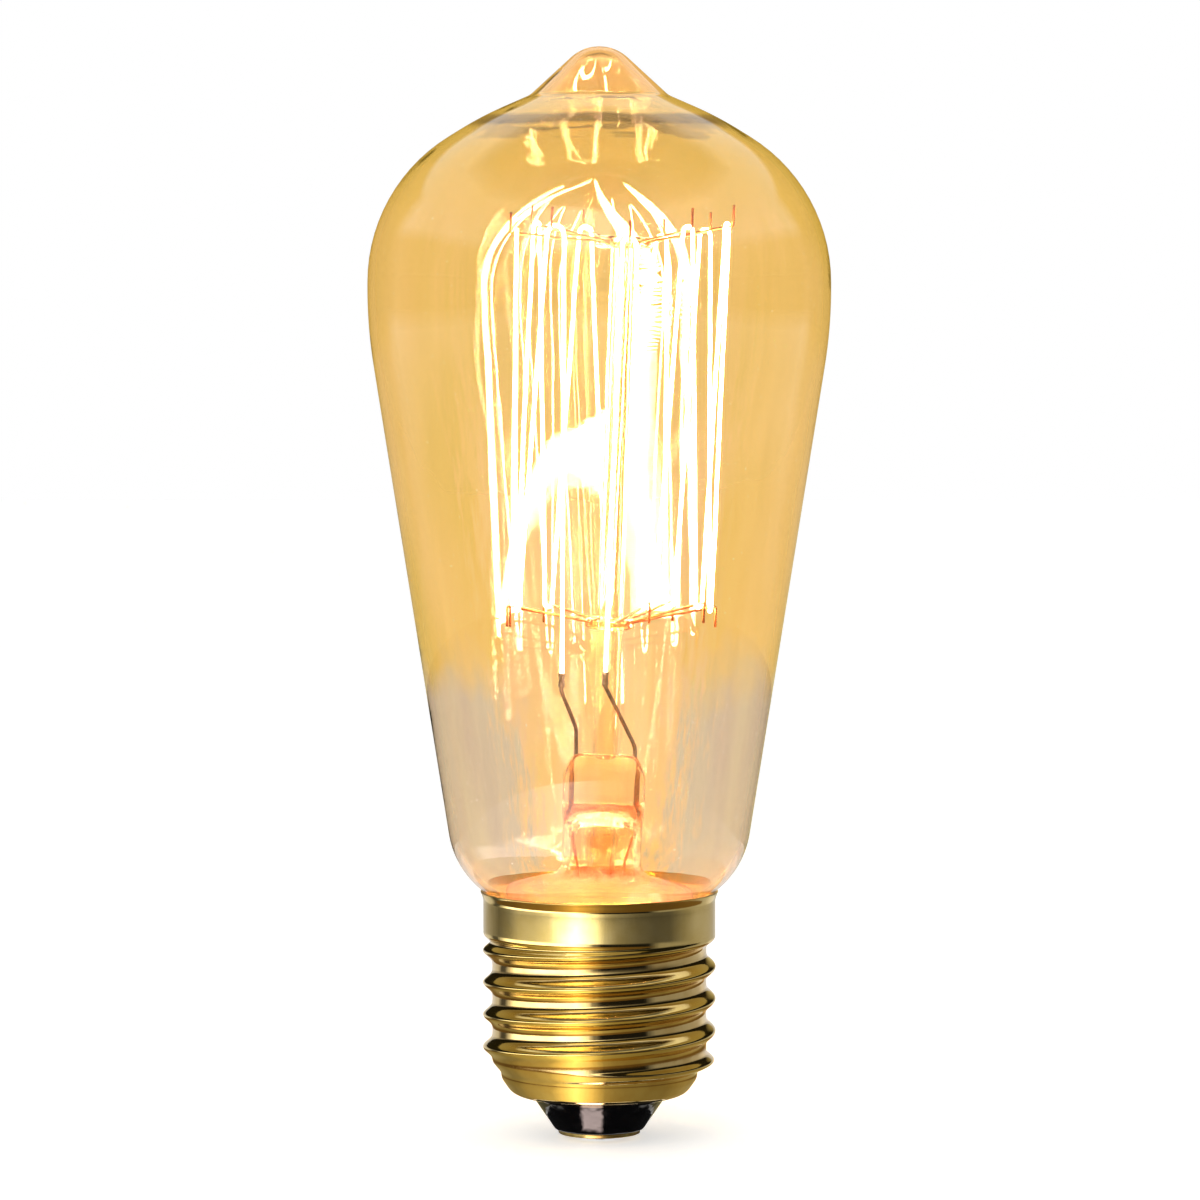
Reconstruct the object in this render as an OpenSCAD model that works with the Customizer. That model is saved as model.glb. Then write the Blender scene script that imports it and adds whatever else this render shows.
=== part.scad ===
// Squirrel cage filament lamp: a clear, tipped glass bulb with a caged filament
// on a glass mount, in a medium screw cap. Millimetres, +Z up.
// The origin is on the cap's axis, at the underside of the centre contact.

/* [Cap] */
// Outside diameter over the thread's crests
thread_crest_diameter = 26.2; // [26:0.05:26.45]
// Depth of the thread, from its crests to its roots
thread_depth = 1.05; // [0.8:0.05:1.15]
// Rise of the thread in one turn
thread_pitch = 3.629; // [3.5:0.01:3.7]
// Height of the threaded band
thread_height = 15.9; // [14:0.1:17]
// Height of the first crest above the shoulder, on the +X side
thread_lead_in = 1.2; // [0.8:0.1:1.6]
// How far the plain collar lies inside the thread's crests
collar_inset = 0.05; // [0:0.01:0.1]
// Height of the collar with its lip
collar_height = 4.7; // [4.4:0.1:6]
// Height of the lip in which the collar ends
lip_height = 1; // [0.6:0.1:1.2]
// How far the lip flares out over the collar
lip_flare = 0.35; // [0.25:0.05:0.45]
// Thickness of the brass sheet
sheet_thickness = 0.3; // [0.25:0.01:0.35]
// How far the top of the rounded shoulder lies inside the thread's crests
shoulder_inset = 2.05; // [1.9:0.05:2.2]
// Height of the rounded shoulder
shoulder_height = 2.85; // [2.7:0.05:3.5]
// Diameter of the opening that the insulator fills
cap_mouth_diameter = 14.7; // [14:0.1:15.2]

/* [Cap bottom] */
// Height of the insulator that shows under the shell
insulator_height = 3.5; // [3:0.1:4.5]
// Width of the insulator's foot that shows round the contact plate
insulator_foot_margin = 0.35; // [0.3:0.05:0.6]
// Thickness of the insulator's floor above the shell's mouth
insulator_floor = 2.6; // [2:0.1:3.2]
// Diameter of the hole for the centre lead
insulator_hole_diameter = 1.2; // [1:0.1:2]
// Diameter of the contact plate
contact_diameter = 9.2; // [8.6:0.1:9.5]
// Thickness of the contact plate
contact_thickness = 0.45; // [0.3:0.05:0.6]
// Diameter of the solder dome on the contact plate
solder_diameter = 5.6; // [4.6:0.1:6.4]
// Height of the solder dome
solder_height = 0.6; // [0.4:0.05:0.8]
// Diameter of the flat that the solder stands on
solder_flat_diameter = 2.6; // [2:0.1:3.4]
// Diameter of the flat solder bead that holds the side lead on the collar
side_bead_diameter = 2.4; // [2:0.1:3]
// How far the side lead's bead stands proud of the collar
side_bead_height = 0.2; // [0.15:0.01:0.22]
// Width of the bead's sloping edge
side_bead_edge = 0.5; // [0.3:0.05:0.6]
// Depth of the side lead's hole below the cap's rim
side_hole_depth = 2.5; // [2.4:0.05:2.7]
// Depth of the cement's top below the cap's rim
cement_recess = 1.05; // [1:0.05:1.3]

/* [Glass bulb] */
// Height of the glass above the cap's rim
glass_height = 94.45; // [93:0.05:97]
// Greatest outside diameter
bulb_diameter = 51.7; // [50.5:0.1:53]
// Thickness of the glass
glass_wall = 0.8; // [0.6:0.05:1]
// Gap between the neck and the collar, which the cement fills
cement_gap = 0.85; // [0.75:0.05:1.05]
// How far the neck reaches below the cap's rim
neck_depth = 3.2; // [3:0.1:3.6]
// Gap between the collar's lip and the glass at the rim
rim_gap = 0.1; // [0.05:0.01:0.2]
// Angle from the axis at which the neck opens
neck_splay = 50; // [46:0.5:53]
// Diameter where the neck's splay would meet the long cone
throat_diameter = 32.6; // [31.6:0.1:33.6]
// Height between the two corners of the widest band
belly_height = 15.65; // [13:0.05:18]
// Angle from the axis of the shoulder below the crown
shoulder_angle = 58.3; // [57:0.1:60]
// Diameter where the shoulder turns into the flatter crown
crown_diameter = 26.3; // [25:0.1:28]
// Angle from the axis of the crown under the tip
crown_angle = 66.4; // [65:0.1:68]
// Diameter of the sealed tip at its root
tip_diameter = 15.4; // [14.6:0.1:16]
// Angle from the axis of the tip's flanks
tip_angle = 47.5; // [46:0.1:49]
// Radius of the tip's rounded end
tip_radius = 4.7; // [4:0.1:5.2]
// Radius of the bend where the neck opens
neck_fillet = 1.2; // [1:0.1:1.6]
// Radius of the bend from the splay to the long cone
throat_fillet = 10; // [8:0.5:12]
// Radius of the bend from the long cone to the widest band
belly_fillet = 54; // [40:1:56]
// Radius of the bend from the widest band to the shoulder
shoulder_fillet = 19; // [16:0.5:19.5]
// Radius of the bend from the shoulder to the crown
crown_fillet = 39; // [30:1:45]
// Radius of the hollow round the foot of the tip
tip_fillet = 2.4; // [2:0.1:3]

/* [Stem] */
// Outside diameter of the stem tube
stem_diameter = 8.9; // [8.4:0.1:9.4]
// Thickness of the stem's glass
stem_wall = 0.85; // [0.7:0.05:0.9]
// Height of the press's top above the cap's rim
press_top_height = 15.4; // [14.5:0.1:16]
// Height of the solid press above the bore of the stem
press_height = 7.6; // [6.8:0.1:8.4]
// Glass beside each wire where the press is widest
press_side_glass = 1.15; // [0.9:0.05:1.4]
// Glass beside each wire at the top of the press
press_top_glass = 0.35; // [0.3:0.05:0.7]
// Glass in front of and behind the arbor rod in the press
press_face_glass = 0.55; // [0.5:0.05:0.8]
// Height above the cap's rim at which the flare leaves the stem tube
flare_height = 1.7; // [1.4:0.1:2.6]
// Height below the cap's rim at which the flare turns down along the neck
flare_turn = 0.2; // [0.1:0.1:0.6]
// Height of the ring where flare and neck are melted together
seal_height = 1.4; // [1.2:0.1:1.8]
// Outside diameter of the exhaust tube
exhaust_diameter = 3.1; // [2.8:0.1:3.4]
// Thickness of the exhaust tube's glass
exhaust_wall = 0.6; // [0.5:0.05:0.7]
// Length of the exhaust tube below the press
exhaust_length = 19.5; // [16:0.5:20]
// Lean of the whole mount towards +X
mount_lean = 2.08; // [0:0.02:2.2]

/* [Cage] */
// Diameter of the glass arbor rod
arbor_diameter = 2.9; // [2.6:0.1:3.2]
// Depth of the arbor rod in the press
arbor_seat = 1.6; // [1.2:0.1:2.4]
// Depth of the upper button's middle below the top of the bulb
upper_button_depth = 21.7; // [21:0.05:25]
// Height of the lower button's middle above the press
lower_button_height = 14.75; // [14:0.05:18]
// Glass round the arbor rod in the upper button
upper_button_wall = 1.75; // [1.6:0.05:2.2]
// Glass round the arbor rod in the lower button
lower_button_wall = 1.35; // [1.3:0.05:1.8]
// Thickness of the buttons
button_thickness = 1.4; // [1.3:0.05:1.8]
// Radius at which the upper hooks hold the filament
upper_hook_radius = 12; // [11:0.1:13]
// Radius at which the lower hooks hold the filament
lower_hook_radius = 11.5; // [10.5:0.1:12.5]
// Diameter of the hook wire
hook_wire_diameter = 0.3; // [0.2:0.01:0.32]
// Depth of the hook wires in the buttons
hook_seat = 1; // [0.8:0.05:1.1]
// Length of the hooks' tails
hook_tail = 2.3; // [1.6:0.1:2.8]
// Inside bend radius of the hooks, to the middle of the wire
hook_bend = 0.4; // [0.3:0.05:0.5]
// Gap between the filament and the hook's tail
hook_gap = 0.1; // [0.05:0.01:0.2]

/* [Filament and leads] */
// Diameter of the coiled filament
filament_diameter = 0.45; // [0.4:0.01:0.48]
// Diameter of the inner lead wires
inner_lead_diameter = 0.45; // [0.35:0.01:0.5]
// Outside diameter of the clamps on the inner leads
clamp_diameter = 0.75; // [0.7:0.01:0.9]
// Length of the clamps
clamp_length = 1.6; // [1.4:0.1:2]
// Length of the filament's end inside its clamp
clamp_grip = 0.9; // [0.7:0.05:1]
// Gap between the wires and the bore of the stem
seal_clearance = 0.13; // [0.05:0.01:0.3]
// Diameter of the sealing wires in the press
seal_wire_diameter = 0.4; // [0.3:0.01:0.45]
// Diameter of the outer lead wires
outer_lead_diameter = 0.34; // [0.25:0.01:0.36]

/* [Hidden] */
$fn = 96;
hull_fn = 32;
thin_fn = 360;
arc_steps = 8;
wire_sides = 6;
loop_steps = 6;
cut = 0.5;
// Greatest share of a straight run that the fillets at its ends may take
run_in_use = 0.98;

// Each hook in the order in which the filament visits it: its angle, how far its end
// stands above its button, and the width of the filament's loop over it
upper_hooks = [
    [231, 1.2, 2.4], [180, 0.6, 1.0], [145.5, 1.6, 1.2], [111.5, 1.3, 1.5], [69, 0.6, 1.3],
    [39.5, 1.5, 1.8], [-20, 2.1, 1.3], [-55, 1.6, 1.3], [-87.5, 0.1, 1.5]
];
lower_hooks = [
    [205, 1.7, 1.1], [162, 1.1, 1.2], [128, 1.3, 1.0], [90, 1.9, 1.0], [54, 1.9, 1.2],
    [13, 1.9, 1.0], [-33, 2.9, 1.3], [-70, 3.0, 1.8]
];

// The inner leads' bends, from the top of the press to the foot of the clamp
left_lead_bends = [[-3.35, -0.6, 1.9], [-3.5, -1.2, 3.2], [-5.0, -4.2, 6.9], [-5.15, -4.6, 7.7]];
right_lead_bends = [[3.1, -0.3, 1.3], [2.6, -0.9, 2.3], [0.5, -3.9, 6.4], [-0.35, -5.5, 8.1]];

// Heights in the cap, from the centre contact up
plate_z = solder_height;
foot_z = plate_z + contact_thickness;
mouth_z = foot_z + insulator_height;
thread_z = mouth_z + shoulder_height;
collar_z = thread_z + thread_height;
rim_z = collar_z + collar_height;

crest_r = thread_crest_diameter / 2;
lip_z = rim_z - lip_height;
collar_r = crest_r - collar_inset;
collar_bore_r = collar_r - sheet_thickness;
shoulder_r = crest_r - shoulder_inset;
mouth_r = cap_mouth_diameter / 2;

// The glass
neck_r = collar_bore_r - cement_gap;
neck_end_z = rim_z - neck_depth;
rim_glass_r = collar_bore_r + lip_flare - rim_gap;
neck_corner_z = rim_z - (rim_glass_r - neck_r) / tan(neck_splay);
throat_r = throat_diameter / 2;
throat_z = rim_z + (throat_r - rim_glass_r) / tan(neck_splay);
top_z = rim_z + glass_height;
tip_centre_z = top_z - tip_radius;
tip_apex_z = tip_centre_z + tip_radius / sin(tip_angle);
tip_r = tip_diameter / 2;
tip_root_z = tip_apex_z - tip_r / tan(tip_angle);
crown_r = crown_diameter / 2;
crown_z = tip_root_z - (crown_r - tip_r) / tan(crown_angle);
bulb_r = bulb_diameter / 2;
shoulder_top_z = crown_z - (bulb_r - crown_r) / tan(shoulder_angle);
belly_z = shoulder_top_z - belly_height;

// The stem and the cage, before the mount leans
stem_r = stem_diameter / 2;
flare_gap = 0.3;
flare_r = neck_r - glass_wall - flare_gap;
flare_turn_z = rim_z - flare_turn;
flare_top_z = rim_z + flare_height;
press_z = rim_z + press_top_height;
bore_top_z = press_z - press_height;
press_lap = 0.2;
press_taper = 2.2;
upper_button_z = top_z - upper_button_depth;
lower_button_z = press_z + lower_button_height;
arbor_r = arbor_diameter / 2;
upper_button_r = arbor_r + upper_button_wall;
lower_button_r = arbor_r + lower_button_wall;
arbor_top_z = upper_button_z + button_thickness * 0.2;
hook_r = hook_wire_diameter / 2;
filament_r = filament_diameter / 2;
lead_r = outer_lead_diameter / 2;
seal_x = stem_r - stem_wall - seal_clearance - lead_r;
seal_edge_x = seal_x + seal_wire_diameter / 2;

// Where the side lead passes through the cement and the collar, at the back
cement_z = neck_end_z;
cement_top_z = rim_z - cement_recess;
side_lead_r = (neck_r + collar_bore_r) / 2;
side_hole_z = rim_z - side_hole_depth;
side_lead_end = collar_r + side_bead_height / 2;
under_neck_z = neck_end_z - 0.5;

glass_tint = [0.95, 0.76, 0.42, 0.4];
stem_tint = [1, 0.8, 0.5, 0.6];
brass = [0.83, 0.69, 0.38];
nickel = [0.55, 0.53, 0.58];
copper = [0.78, 0.45, 0.28];
molybdenum = [0.7, 0.35, 0.2];
solder = [0.72, 0.73, 0.75];

function unit(v) = v / norm(v);
function lerp(a, b, t) = a + (b - a) * t;
function ease(t) = let (c = min(max(t, 0), 1)) c * c * (3 - 2 * c);
function left_of(v) = [-v[1], v[0]] / norm(v);
function flat(p) = [p[0], p[1]];

// One rounded corner of an outline that runs with its solid on the left. The arc keeps
// its centre when the outline is drawn in by inset, so walls stay even.
function corner_arc(a, p, b, radius, inset) =
    let (
        u = unit(a - p),
        v = unit(b - p),
        half = acos(u * v) / 2,
        centre = p + unit(u + v) * radius / sin(half),
        from = p + u * radius / tan(half) - centre,
        to = p + v * radius / tan(half) - centre,
        turn = atan2(cross(from, to), from * to),
        start = atan2(from[1], from[0]),
        drawn = radius - sign(turn) * inset
    )
    [for (k = [0:arc_steps])
        let (t = start + turn * k / arc_steps)
        centre + drawn * [cos(t), sin(t)]];

// Length of a run that a fillet takes on each side of its corner
function fillet_reach(a, p, b, radius) =
    radius / tan(acos(unit(a - p) * unit(b - p)) / 2);

// An open outline through [radius, height, fillet] corners, drawn in by inset. Where the
// fillets at both ends of a run don't fit on it, both shrink until they do.
function outline(corners, inset) =
    let (
        last = len(corners) - 1,
        points = [for (c = corners) flat(c)],
        reach = concat(
            [0],
            [for (i = [1:last - 1])
                fillet_reach(points[i - 1], points[i], points[i + 1], corners[i][2])],
            [0]
        ),
        fit = [for (i = [0:last - 1])
            let (needed = reach[i] + reach[i + 1])
            needed == 0 ? 1 : min(1, run_in_use * norm(points[i + 1] - points[i]) / needed)]
    )
    concat(
        [points[0] + inset * left_of(points[1] - points[0])],
        [for (i = [1:last - 1])
            each corner_arc(points[i - 1], points[i], points[i + 1],
                corners[i][2] * min(fit[i - 1], fit[i]), inset)],
        [points[last] + inset * left_of(points[last] - points[last - 1])]
    );

function reversed(list) = [for (i = [len(list) - 1:-1:0]) list[i]];
function without_last(list) = [for (i = [0:len(list) - 2]) list[i]];

// The glass from the neck's end to the middle of the tip
function bulb_outline(inset) = concat(
    without_last(outline([
        [neck_r, neck_end_z, 0],
        [neck_r, neck_corner_z, neck_fillet],
        [throat_r, throat_z, throat_fillet],
        [bulb_r, belly_z, belly_fillet],
        [bulb_r, shoulder_top_z, shoulder_fillet],
        [crown_r, crown_z, crown_fillet],
        [tip_r, tip_root_z, tip_fillet],
        [0, tip_apex_z, 0]
    ], inset)),
    [for (k = [0:arc_steps])
        let (t = lerp(tip_angle, 90, k / arc_steps))
        [0, tip_centre_z] + (tip_radius - inset) * [cos(t), sin(t)]]
);

function shoulder_outline(inset) = outline([
    [mouth_r, mouth_z, 0],
    [shoulder_r - 1.15, mouth_z + 0.75, 1.8],
    [shoulder_r, thread_z - 0.5, 1.5],
    [shoulder_r, thread_z, 0]
], inset);

// The collar and the lip at its top, which opens like a trumpet
function collar_outline(inset) = outline([
    [collar_r, collar_z, 0],
    [collar_r, lip_z, 1.4],
    [collar_r + lip_flare, rim_z, 0]
], inset);

function flare_outline(inset, end_z) = outline([
    [flare_r, end_z, 0],
    [flare_r, flare_turn_z, 1],
    [stem_r, flare_top_z, 2.2],
    [stem_r, bore_top_z, 0]
], inset);

// Where a point of the straight mount is once the mount leans
function leaned(p) =
    let (h = p[2] - neck_end_z)
    [
        p[0] * cos(mount_lean) + h * sin(mount_lean),
        p[1],
        neck_end_z - p[0] * sin(mount_lean) + h * cos(mount_lean)
    ];

module leaning() {
    translate([0, 0, neck_end_z])
        rotate([0, mount_lean, 0])
            translate([0, 0, -neck_end_z])
                children();
}

// A point moved along a direction until it lies in the plane through centre
function onto_plane(q, direction, centre, normal) =
    q + direction * (((centre - q) * normal) / (direction * normal));

// Even rings along a path. Each ring is the last one pushed along the run between
// them onto the plane that halves the corner, so the tube neither twists nor thins.
function tube_rings(path, radius) =
    let (
        last = len(path) - 1,
        runs = [for (i = [0:last - 1]) unit(path[i + 1] - path[i])],
        normals = [for (i = [0:last]) unit(runs[max(i - 1, 0)] + runs[min(i, last - 1)])],
        aside = unit(cross(runs[0], abs(runs[0][1]) < 0.9 ? [0, 1, 0] : [1, 0, 0])),
        across = cross(runs[0], aside),
        first = [for (k = [0:wire_sides - 1])
            let (t = 360 * k / wire_sides)
            path[0] + radius * (cos(t) * aside + sin(t) * across)]
    )
    [for (
        i = 0, ring = first;
        i <= last;
        i = i + 1,
        ring = i > last ? ring
            : [for (q = ring) onto_plane(q, runs[i - 1], path[i], normals[i])]
    ) ring];

// Triangles of a closed skin over rings of equal count, ends filled from their first point
function skin_faces(count, sides) = concat(
    [for (i = [0:count - 2], k = [0:sides - 1])
        let (
            a = i * sides + k,
            b = i * sides + (k + 1) % sides
        )
        each [[a, a + sides, b + sides], [a, b + sides, b]]],
    [for (k = [1:sides - 2]) [0, k, k + 1]],
    [for (k = [1:sides - 2]) let (e = (count - 1) * sides) [e, e + k + 1, e + k]]
);

module wire(path, diameter) {
    polyhedron(
        points = [for (ring = tube_rings(path, diameter / 2)) each ring],
        faces = skin_faces(len(path), wire_sides)
    );
}

module envelope() {
    color(glass_tint)
        rotate_extrude()
            polygon(concat(bulb_outline(0), reversed(bulb_outline(glass_wall))));
}

// A rectangle with rounded ends, for the pinched glass
module slab(width, thickness) {
    hull()
        for (side = [-1, 1])
            translate([side * (width - thickness) / 2, 0])
                circle(d = thickness, $fn = hull_fn);
}

module press_body() {
    thickness = arbor_diameter + 2 * press_face_glass;
    top_round = 0.3;
    hull() {
        translate([0, 0, bore_top_z - 1])
            cylinder(r = stem_r - press_lap, h = 0.2, $fn = hull_fn);
        translate([0, 0, bore_top_z + press_taper])
            linear_extrude(press_height * 0.45)
                slab(2 * (seal_edge_x + press_side_glass), thickness);
        translate([0, 0, press_z - top_round])
            linear_extrude(top_round)
                slab(2 * (seal_edge_x + press_top_glass), thickness - 2 * top_round);
    }
}

module stem_flare() {
    seal_bore_r = flare_r - stem_wall - 0.2;
    color(stem_tint)
        difference() {
            union() {
                rotate_extrude()
                    translate([seal_bore_r, neck_end_z])
                        square([neck_r - glass_wall - seal_bore_r, seal_height]);
                leaning()
                    rotate_extrude()
                        polygon(concat(
                            [[0, neck_end_z + seal_height / 2]],
                            flare_outline(0, neck_end_z + seal_height / 2),
                            [[0, bore_top_z]]
                        ));
                leaning()
                    press_body();
            }
            leaning()
                rotate_extrude()
                    polygon(concat(
                        [[0, neck_end_z - 2]],
                        flare_outline(stem_wall, neck_end_z - 2),
                        [[0, bore_top_z]]
                    ));
            leaning()
                translate([0, 0, press_z - arbor_seat])
                    cylinder(r = arbor_r, h = arbor_seat + cut);
            leaning()
                for (side = [-1, 1])
                    translate([side * seal_x, 0, bore_top_z - cut])
                        cylinder(d = seal_wire_diameter, h = press_height + 2 * cut);
        }
}

module exhaust_tube() {
    exhaust_r = exhaust_diameter / 2;
    end_z = bore_top_z - exhaust_length;
    corners = [[0, end_z, 0], [exhaust_r, end_z, 1], [exhaust_r, bore_top_z, 0]];
    color(stem_tint)
        leaning()
            rotate_extrude()
                polygon(concat(outline(corners, 0), reversed(outline(corners, exhaust_wall))));
}

module arbor_rod() {
    color(stem_tint)
        leaning()
            translate([0, 0, press_z - arbor_seat])
                cylinder(r = arbor_r, h = arbor_top_z - press_z + arbor_seat);
}

// The run of a hook's arm in its own upright plane: from the seat in the button,
// past the filament, and round into the tail
function hook_end(button_r, ring_r, rise) =
    let (
        seat = [button_r - hook_seat, 0],
        held = [ring_r, rise]
    )
    held + unit(held - seat) * (filament_r + hook_gap + hook_bend);

function hook_path(button_r, ring_r, rise, way) =
    let (
        seat = [button_r - hook_seat, 0],
        bend = hook_end(button_r, ring_r, rise),
        tail = bend + [0, way * hook_tail]
    )
    concat([seat], corner_arc(seat, bend, tail, hook_bend, 0), [tail]);

function on_spoke(p, angle, z) = [p[0] * cos(angle), p[0] * sin(angle), z + p[1]];

module support(hook, button_r, ring_r, button_z, way) {
    color(molybdenum)
        leaning()
            wire([for (p = hook_path(button_r, ring_r, hook[1], way))
                on_spoke(p, hook[0], button_z)], hook_wire_diameter);
}

module upper_support(hook) {
    support(hook, upper_button_r, upper_hook_radius, upper_button_z, 1);
}

module lower_support(hook) {
    support(hook, lower_button_r, lower_hook_radius, lower_button_z, -1);
}

// A glass button: a rounded disc, bored for the arbor and for each hook wire
module button(button_r, middle_z, ring_r, hooks, bore_z) {
    low = middle_z - button_thickness / 2;
    high = middle_z + button_thickness / 2;
    round = button_thickness * 0.45;
    color(stem_tint)
        leaning()
            difference() {
                rotate_extrude()
                    polygon(outline([
                        [0, low, 0],
                        [button_r, low, round],
                        [button_r, high, round],
                        [0, high, 0]
                    ], 0));
                translate([0, 0, low - cut])
                    cylinder(r = arbor_r, h = bore_z - low + cut);
                for (hook = hooks)
                    rotate([0, 0, hook[0]])
                        translate([button_r - hook_seat, 0, middle_z])
                            rotate([0, 90 - atan2(hook[1], ring_r - button_r + hook_seat), 0])
                                cylinder(r = hook_r, h = hook_seat + cut);
            }
}

module upper_button() {
    button(upper_button_r, upper_button_z, upper_hook_radius, upper_hooks, arbor_top_z);
}

module lower_button() {
    button(lower_button_r, lower_button_z, lower_hook_radius, lower_hooks,
        lower_button_z + button_thickness);
}

// One loop of the filament round a hook, from the side where it arrives to the side
// where it leaves. It bears on the hook's wire from above (way 1) or below (way -1).
function filament_loop(hook, button_r, ring_r, button_z, way) =
    let (
        slope = atan2(hook[1], ring_r - button_r + hook_seat),
        crest_z = button_z + hook[1] + way * (hook_r + filament_r) / cos(slope),
        half = hook[2] / 2
    )
    [for (k = [0:loop_steps])
        let (
            t = 180 * k / loop_steps,
            around = half * cos(t)
        )
        [
            ring_r * cos(hook[0]) - around * sin(hook[0]),
            ring_r * sin(hook[0]) + around * cos(hook[0]),
            crest_z + way * half * (sin(t) - 1)
        ]];

function upper_loop(i) = filament_loop(upper_hooks[i], upper_button_r,
    upper_hook_radius, upper_button_z, 1);
function lower_loop(i) = filament_loop(lower_hooks[i], lower_button_r,
    lower_hook_radius, lower_button_z, -1);

// The clamps stand on the last bend of each inner lead
function lead_bend(p) = [p[0], p[1], press_z + p[2]];
left_clamp = lead_bend(left_lead_bends[len(left_lead_bends) - 1]);
right_clamp = lead_bend(right_lead_bends[len(right_lead_bends) - 1]);
clamp_top = [0, 0, clamp_length];
grip = [0, 0, clamp_grip];

filament_loops = [for (i = [0:len(upper_hooks) + len(lower_hooks) - 1])
    i % 2 == 0 ? upper_loop(i / 2) : lower_loop((i - 1) / 2)];
filament_path = concat(
    [left_clamp + clamp_top - grip, left_clamp + clamp_top],
    [for (loop = filament_loops) each loop],
    [right_clamp + clamp_top, right_clamp + clamp_top - grip]
);

// The least gap of the filament to itself, measured between points along its strands
strand_steps = 24;
strand_starts = concat([left_clamp + clamp_top], [for (loop = filament_loops) loop[loop_steps]]);
strand_ends = concat([for (loop = filament_loops) loop[0]], [right_clamp + clamp_top]);
function strand(i) = [for (k = [0:strand_steps])
    lerp(strand_starts[i], strand_ends[i], k / strand_steps)];
function least_gap() =
    let (strands = [for (i = [0:len(strand_starts) - 1]) strand(i)])
    min([for (i = [0:len(strands) - 2], j = [i + 1:len(strands) - 1], p = strands[i])
        min([for (q = strands[j]) norm(p - q)])]) - filament_diameter;

module filament() {
    echo(str("Least gap of the filament to itself, mm: ", least_gap()));
    color("ivory")
        leaning()
            wire(filament_path, filament_diameter);
}

// A nickel wire from the press, with a clamp that grips the filament's end
module inner_lead(side, bends) {
    foot = lead_bend(bends[len(bends) - 1]);
    grip_z = clamp_length - clamp_grip;
    path = concat(
        [[side * seal_x, 0, press_z], [side * seal_x, 0, press_z + 0.6]],
        [for (p = bends) lead_bend(p)],
        [foot + [0, 0, grip_z / 2]]
    );
    color(nickel)
        leaning() {
            wire(path, inner_lead_diameter);
            translate(foot)
                difference() {
                    cylinder(d = clamp_diameter, h = clamp_length);
                    translate([0, 0, grip_z])
                        cylinder(r = filament_r, h = clamp_grip + cut);
                }
        }
}

module inner_lead_left() {
    inner_lead(-1, left_lead_bends);
}

module inner_lead_right() {
    inner_lead(1, right_lead_bends);
}

module seal_wire(side) {
    color(nickel)
        leaning()
            translate([side * seal_x, 0, bore_top_z])
                cylinder(d = seal_wire_diameter, h = press_height);
}

module side_lead() {
    color(copper)
        wire([
            leaned([-seal_x, 0, bore_top_z]),
            leaned([-seal_x, 0, bore_top_z - 1]),
            [-2.3, 0, rim_z + 1],
            [-2.1, 0.6, rim_z - 1.6],
            [-1.4, 3.5, under_neck_z + 0.3],
            [0, 9, under_neck_z],
            [0, side_lead_r, under_neck_z],
            [0, side_lead_r, side_hole_z],
            [0, side_lead_end, side_hole_z]
        ], outer_lead_diameter);
}

module centre_lead() {
    color(copper)
        wire([
            leaned([seal_x, 0, bore_top_z]),
            leaned([seal_x, 0, bore_top_z - 1]),
            [2.5, 0, rim_z + 1],
            [2.1, 0, rim_z - 8],
            [1.7, 0, rim_z - 13],
            [0.5, 0, mouth_z + insulator_floor + 3.5],
            [0, 0, mouth_z + insulator_floor + 1.5],
            [0, 0, solder_height * 0.6]
        ], outer_lead_diameter);
}

// Radius of the rolled brass thread, with narrow crests and wide roots. It grows out of
// the shoulder and runs out under the collar.
function thread_r(angle, z) =
    let (
        turn = 360 * (z - thread_z - thread_lead_in) / thread_pitch - angle,
        rolled = crest_r - thread_depth * (1 - pow((1 + cos(turn)) / 2, 2)),
        grown = lerp(shoulder_r - seat_lap, rolled, ease((z - thread_z) / 1.6))
    )
    lerp(grown, collar_r - seat_lap, ease((z - collar_z) / 1.2 + 1));

// The thread's ends stand in the walls of the shoulder and the collar
seat_lap = 0.05;
seat_wall = 0.16;
seat_depth = 0.4;
thread_sides = 40;
rings_per_turn = 8;

module thread_band() {
    rings = ceil(thread_height / thread_pitch * rings_per_turn);
    heights = concat(
        [thread_z - seat_depth],
        [for (i = [0:rings]) thread_z + thread_height * i / rings],
        [collar_z + seat_depth]
    );
    last = len(heights) - 1;
    function wall_at(i) = i < 2 || i > last - 2 ? seat_wall : sheet_thickness;
    function radius_at(i, angle) = thread_r(angle, min(max(heights[i], thread_z), collar_z));
    points = [for (i = [0:last], inner = [0, 1], k = [0:thread_sides - 1])
        let (
            angle = 360 * k / thread_sides,
            r = radius_at(i, angle) - inner * wall_at(i)
        )
        [r * cos(angle), r * sin(angle), heights[i]]];
    function at(i, inner, k) = (i * 2 + inner) * thread_sides + k % thread_sides;
    polyhedron(points = points, faces = concat(
        [for (i = [0:last - 1], k = [0:thread_sides - 1])
            each [
                [at(i, 0, k), at(i + 1, 0, k), at(i + 1, 0, k + 1)],
                [at(i, 0, k), at(i + 1, 0, k + 1), at(i, 0, k + 1)],
                [at(i, 1, k), at(i + 1, 1, k + 1), at(i + 1, 1, k)],
                [at(i, 1, k), at(i, 1, k + 1), at(i + 1, 1, k + 1)]
            ]],
        [for (k = [0:thread_sides - 1])
            each [
                [at(0, 0, k), at(0, 0, k + 1), at(0, 1, k + 1)],
                [at(0, 0, k), at(0, 1, k + 1), at(0, 1, k)],
                [at(last, 0, k), at(last, 1, k + 1), at(last, 0, k + 1)],
                [at(last, 0, k), at(last, 1, k), at(last, 1, k + 1)]
            ]]
    ));
}

module side_hole(height) {
    translate([0, side_lead_r, side_hole_z])
        rotate([-90, 0, 0])
            cylinder(r = lead_r, h = height);
}

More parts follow.
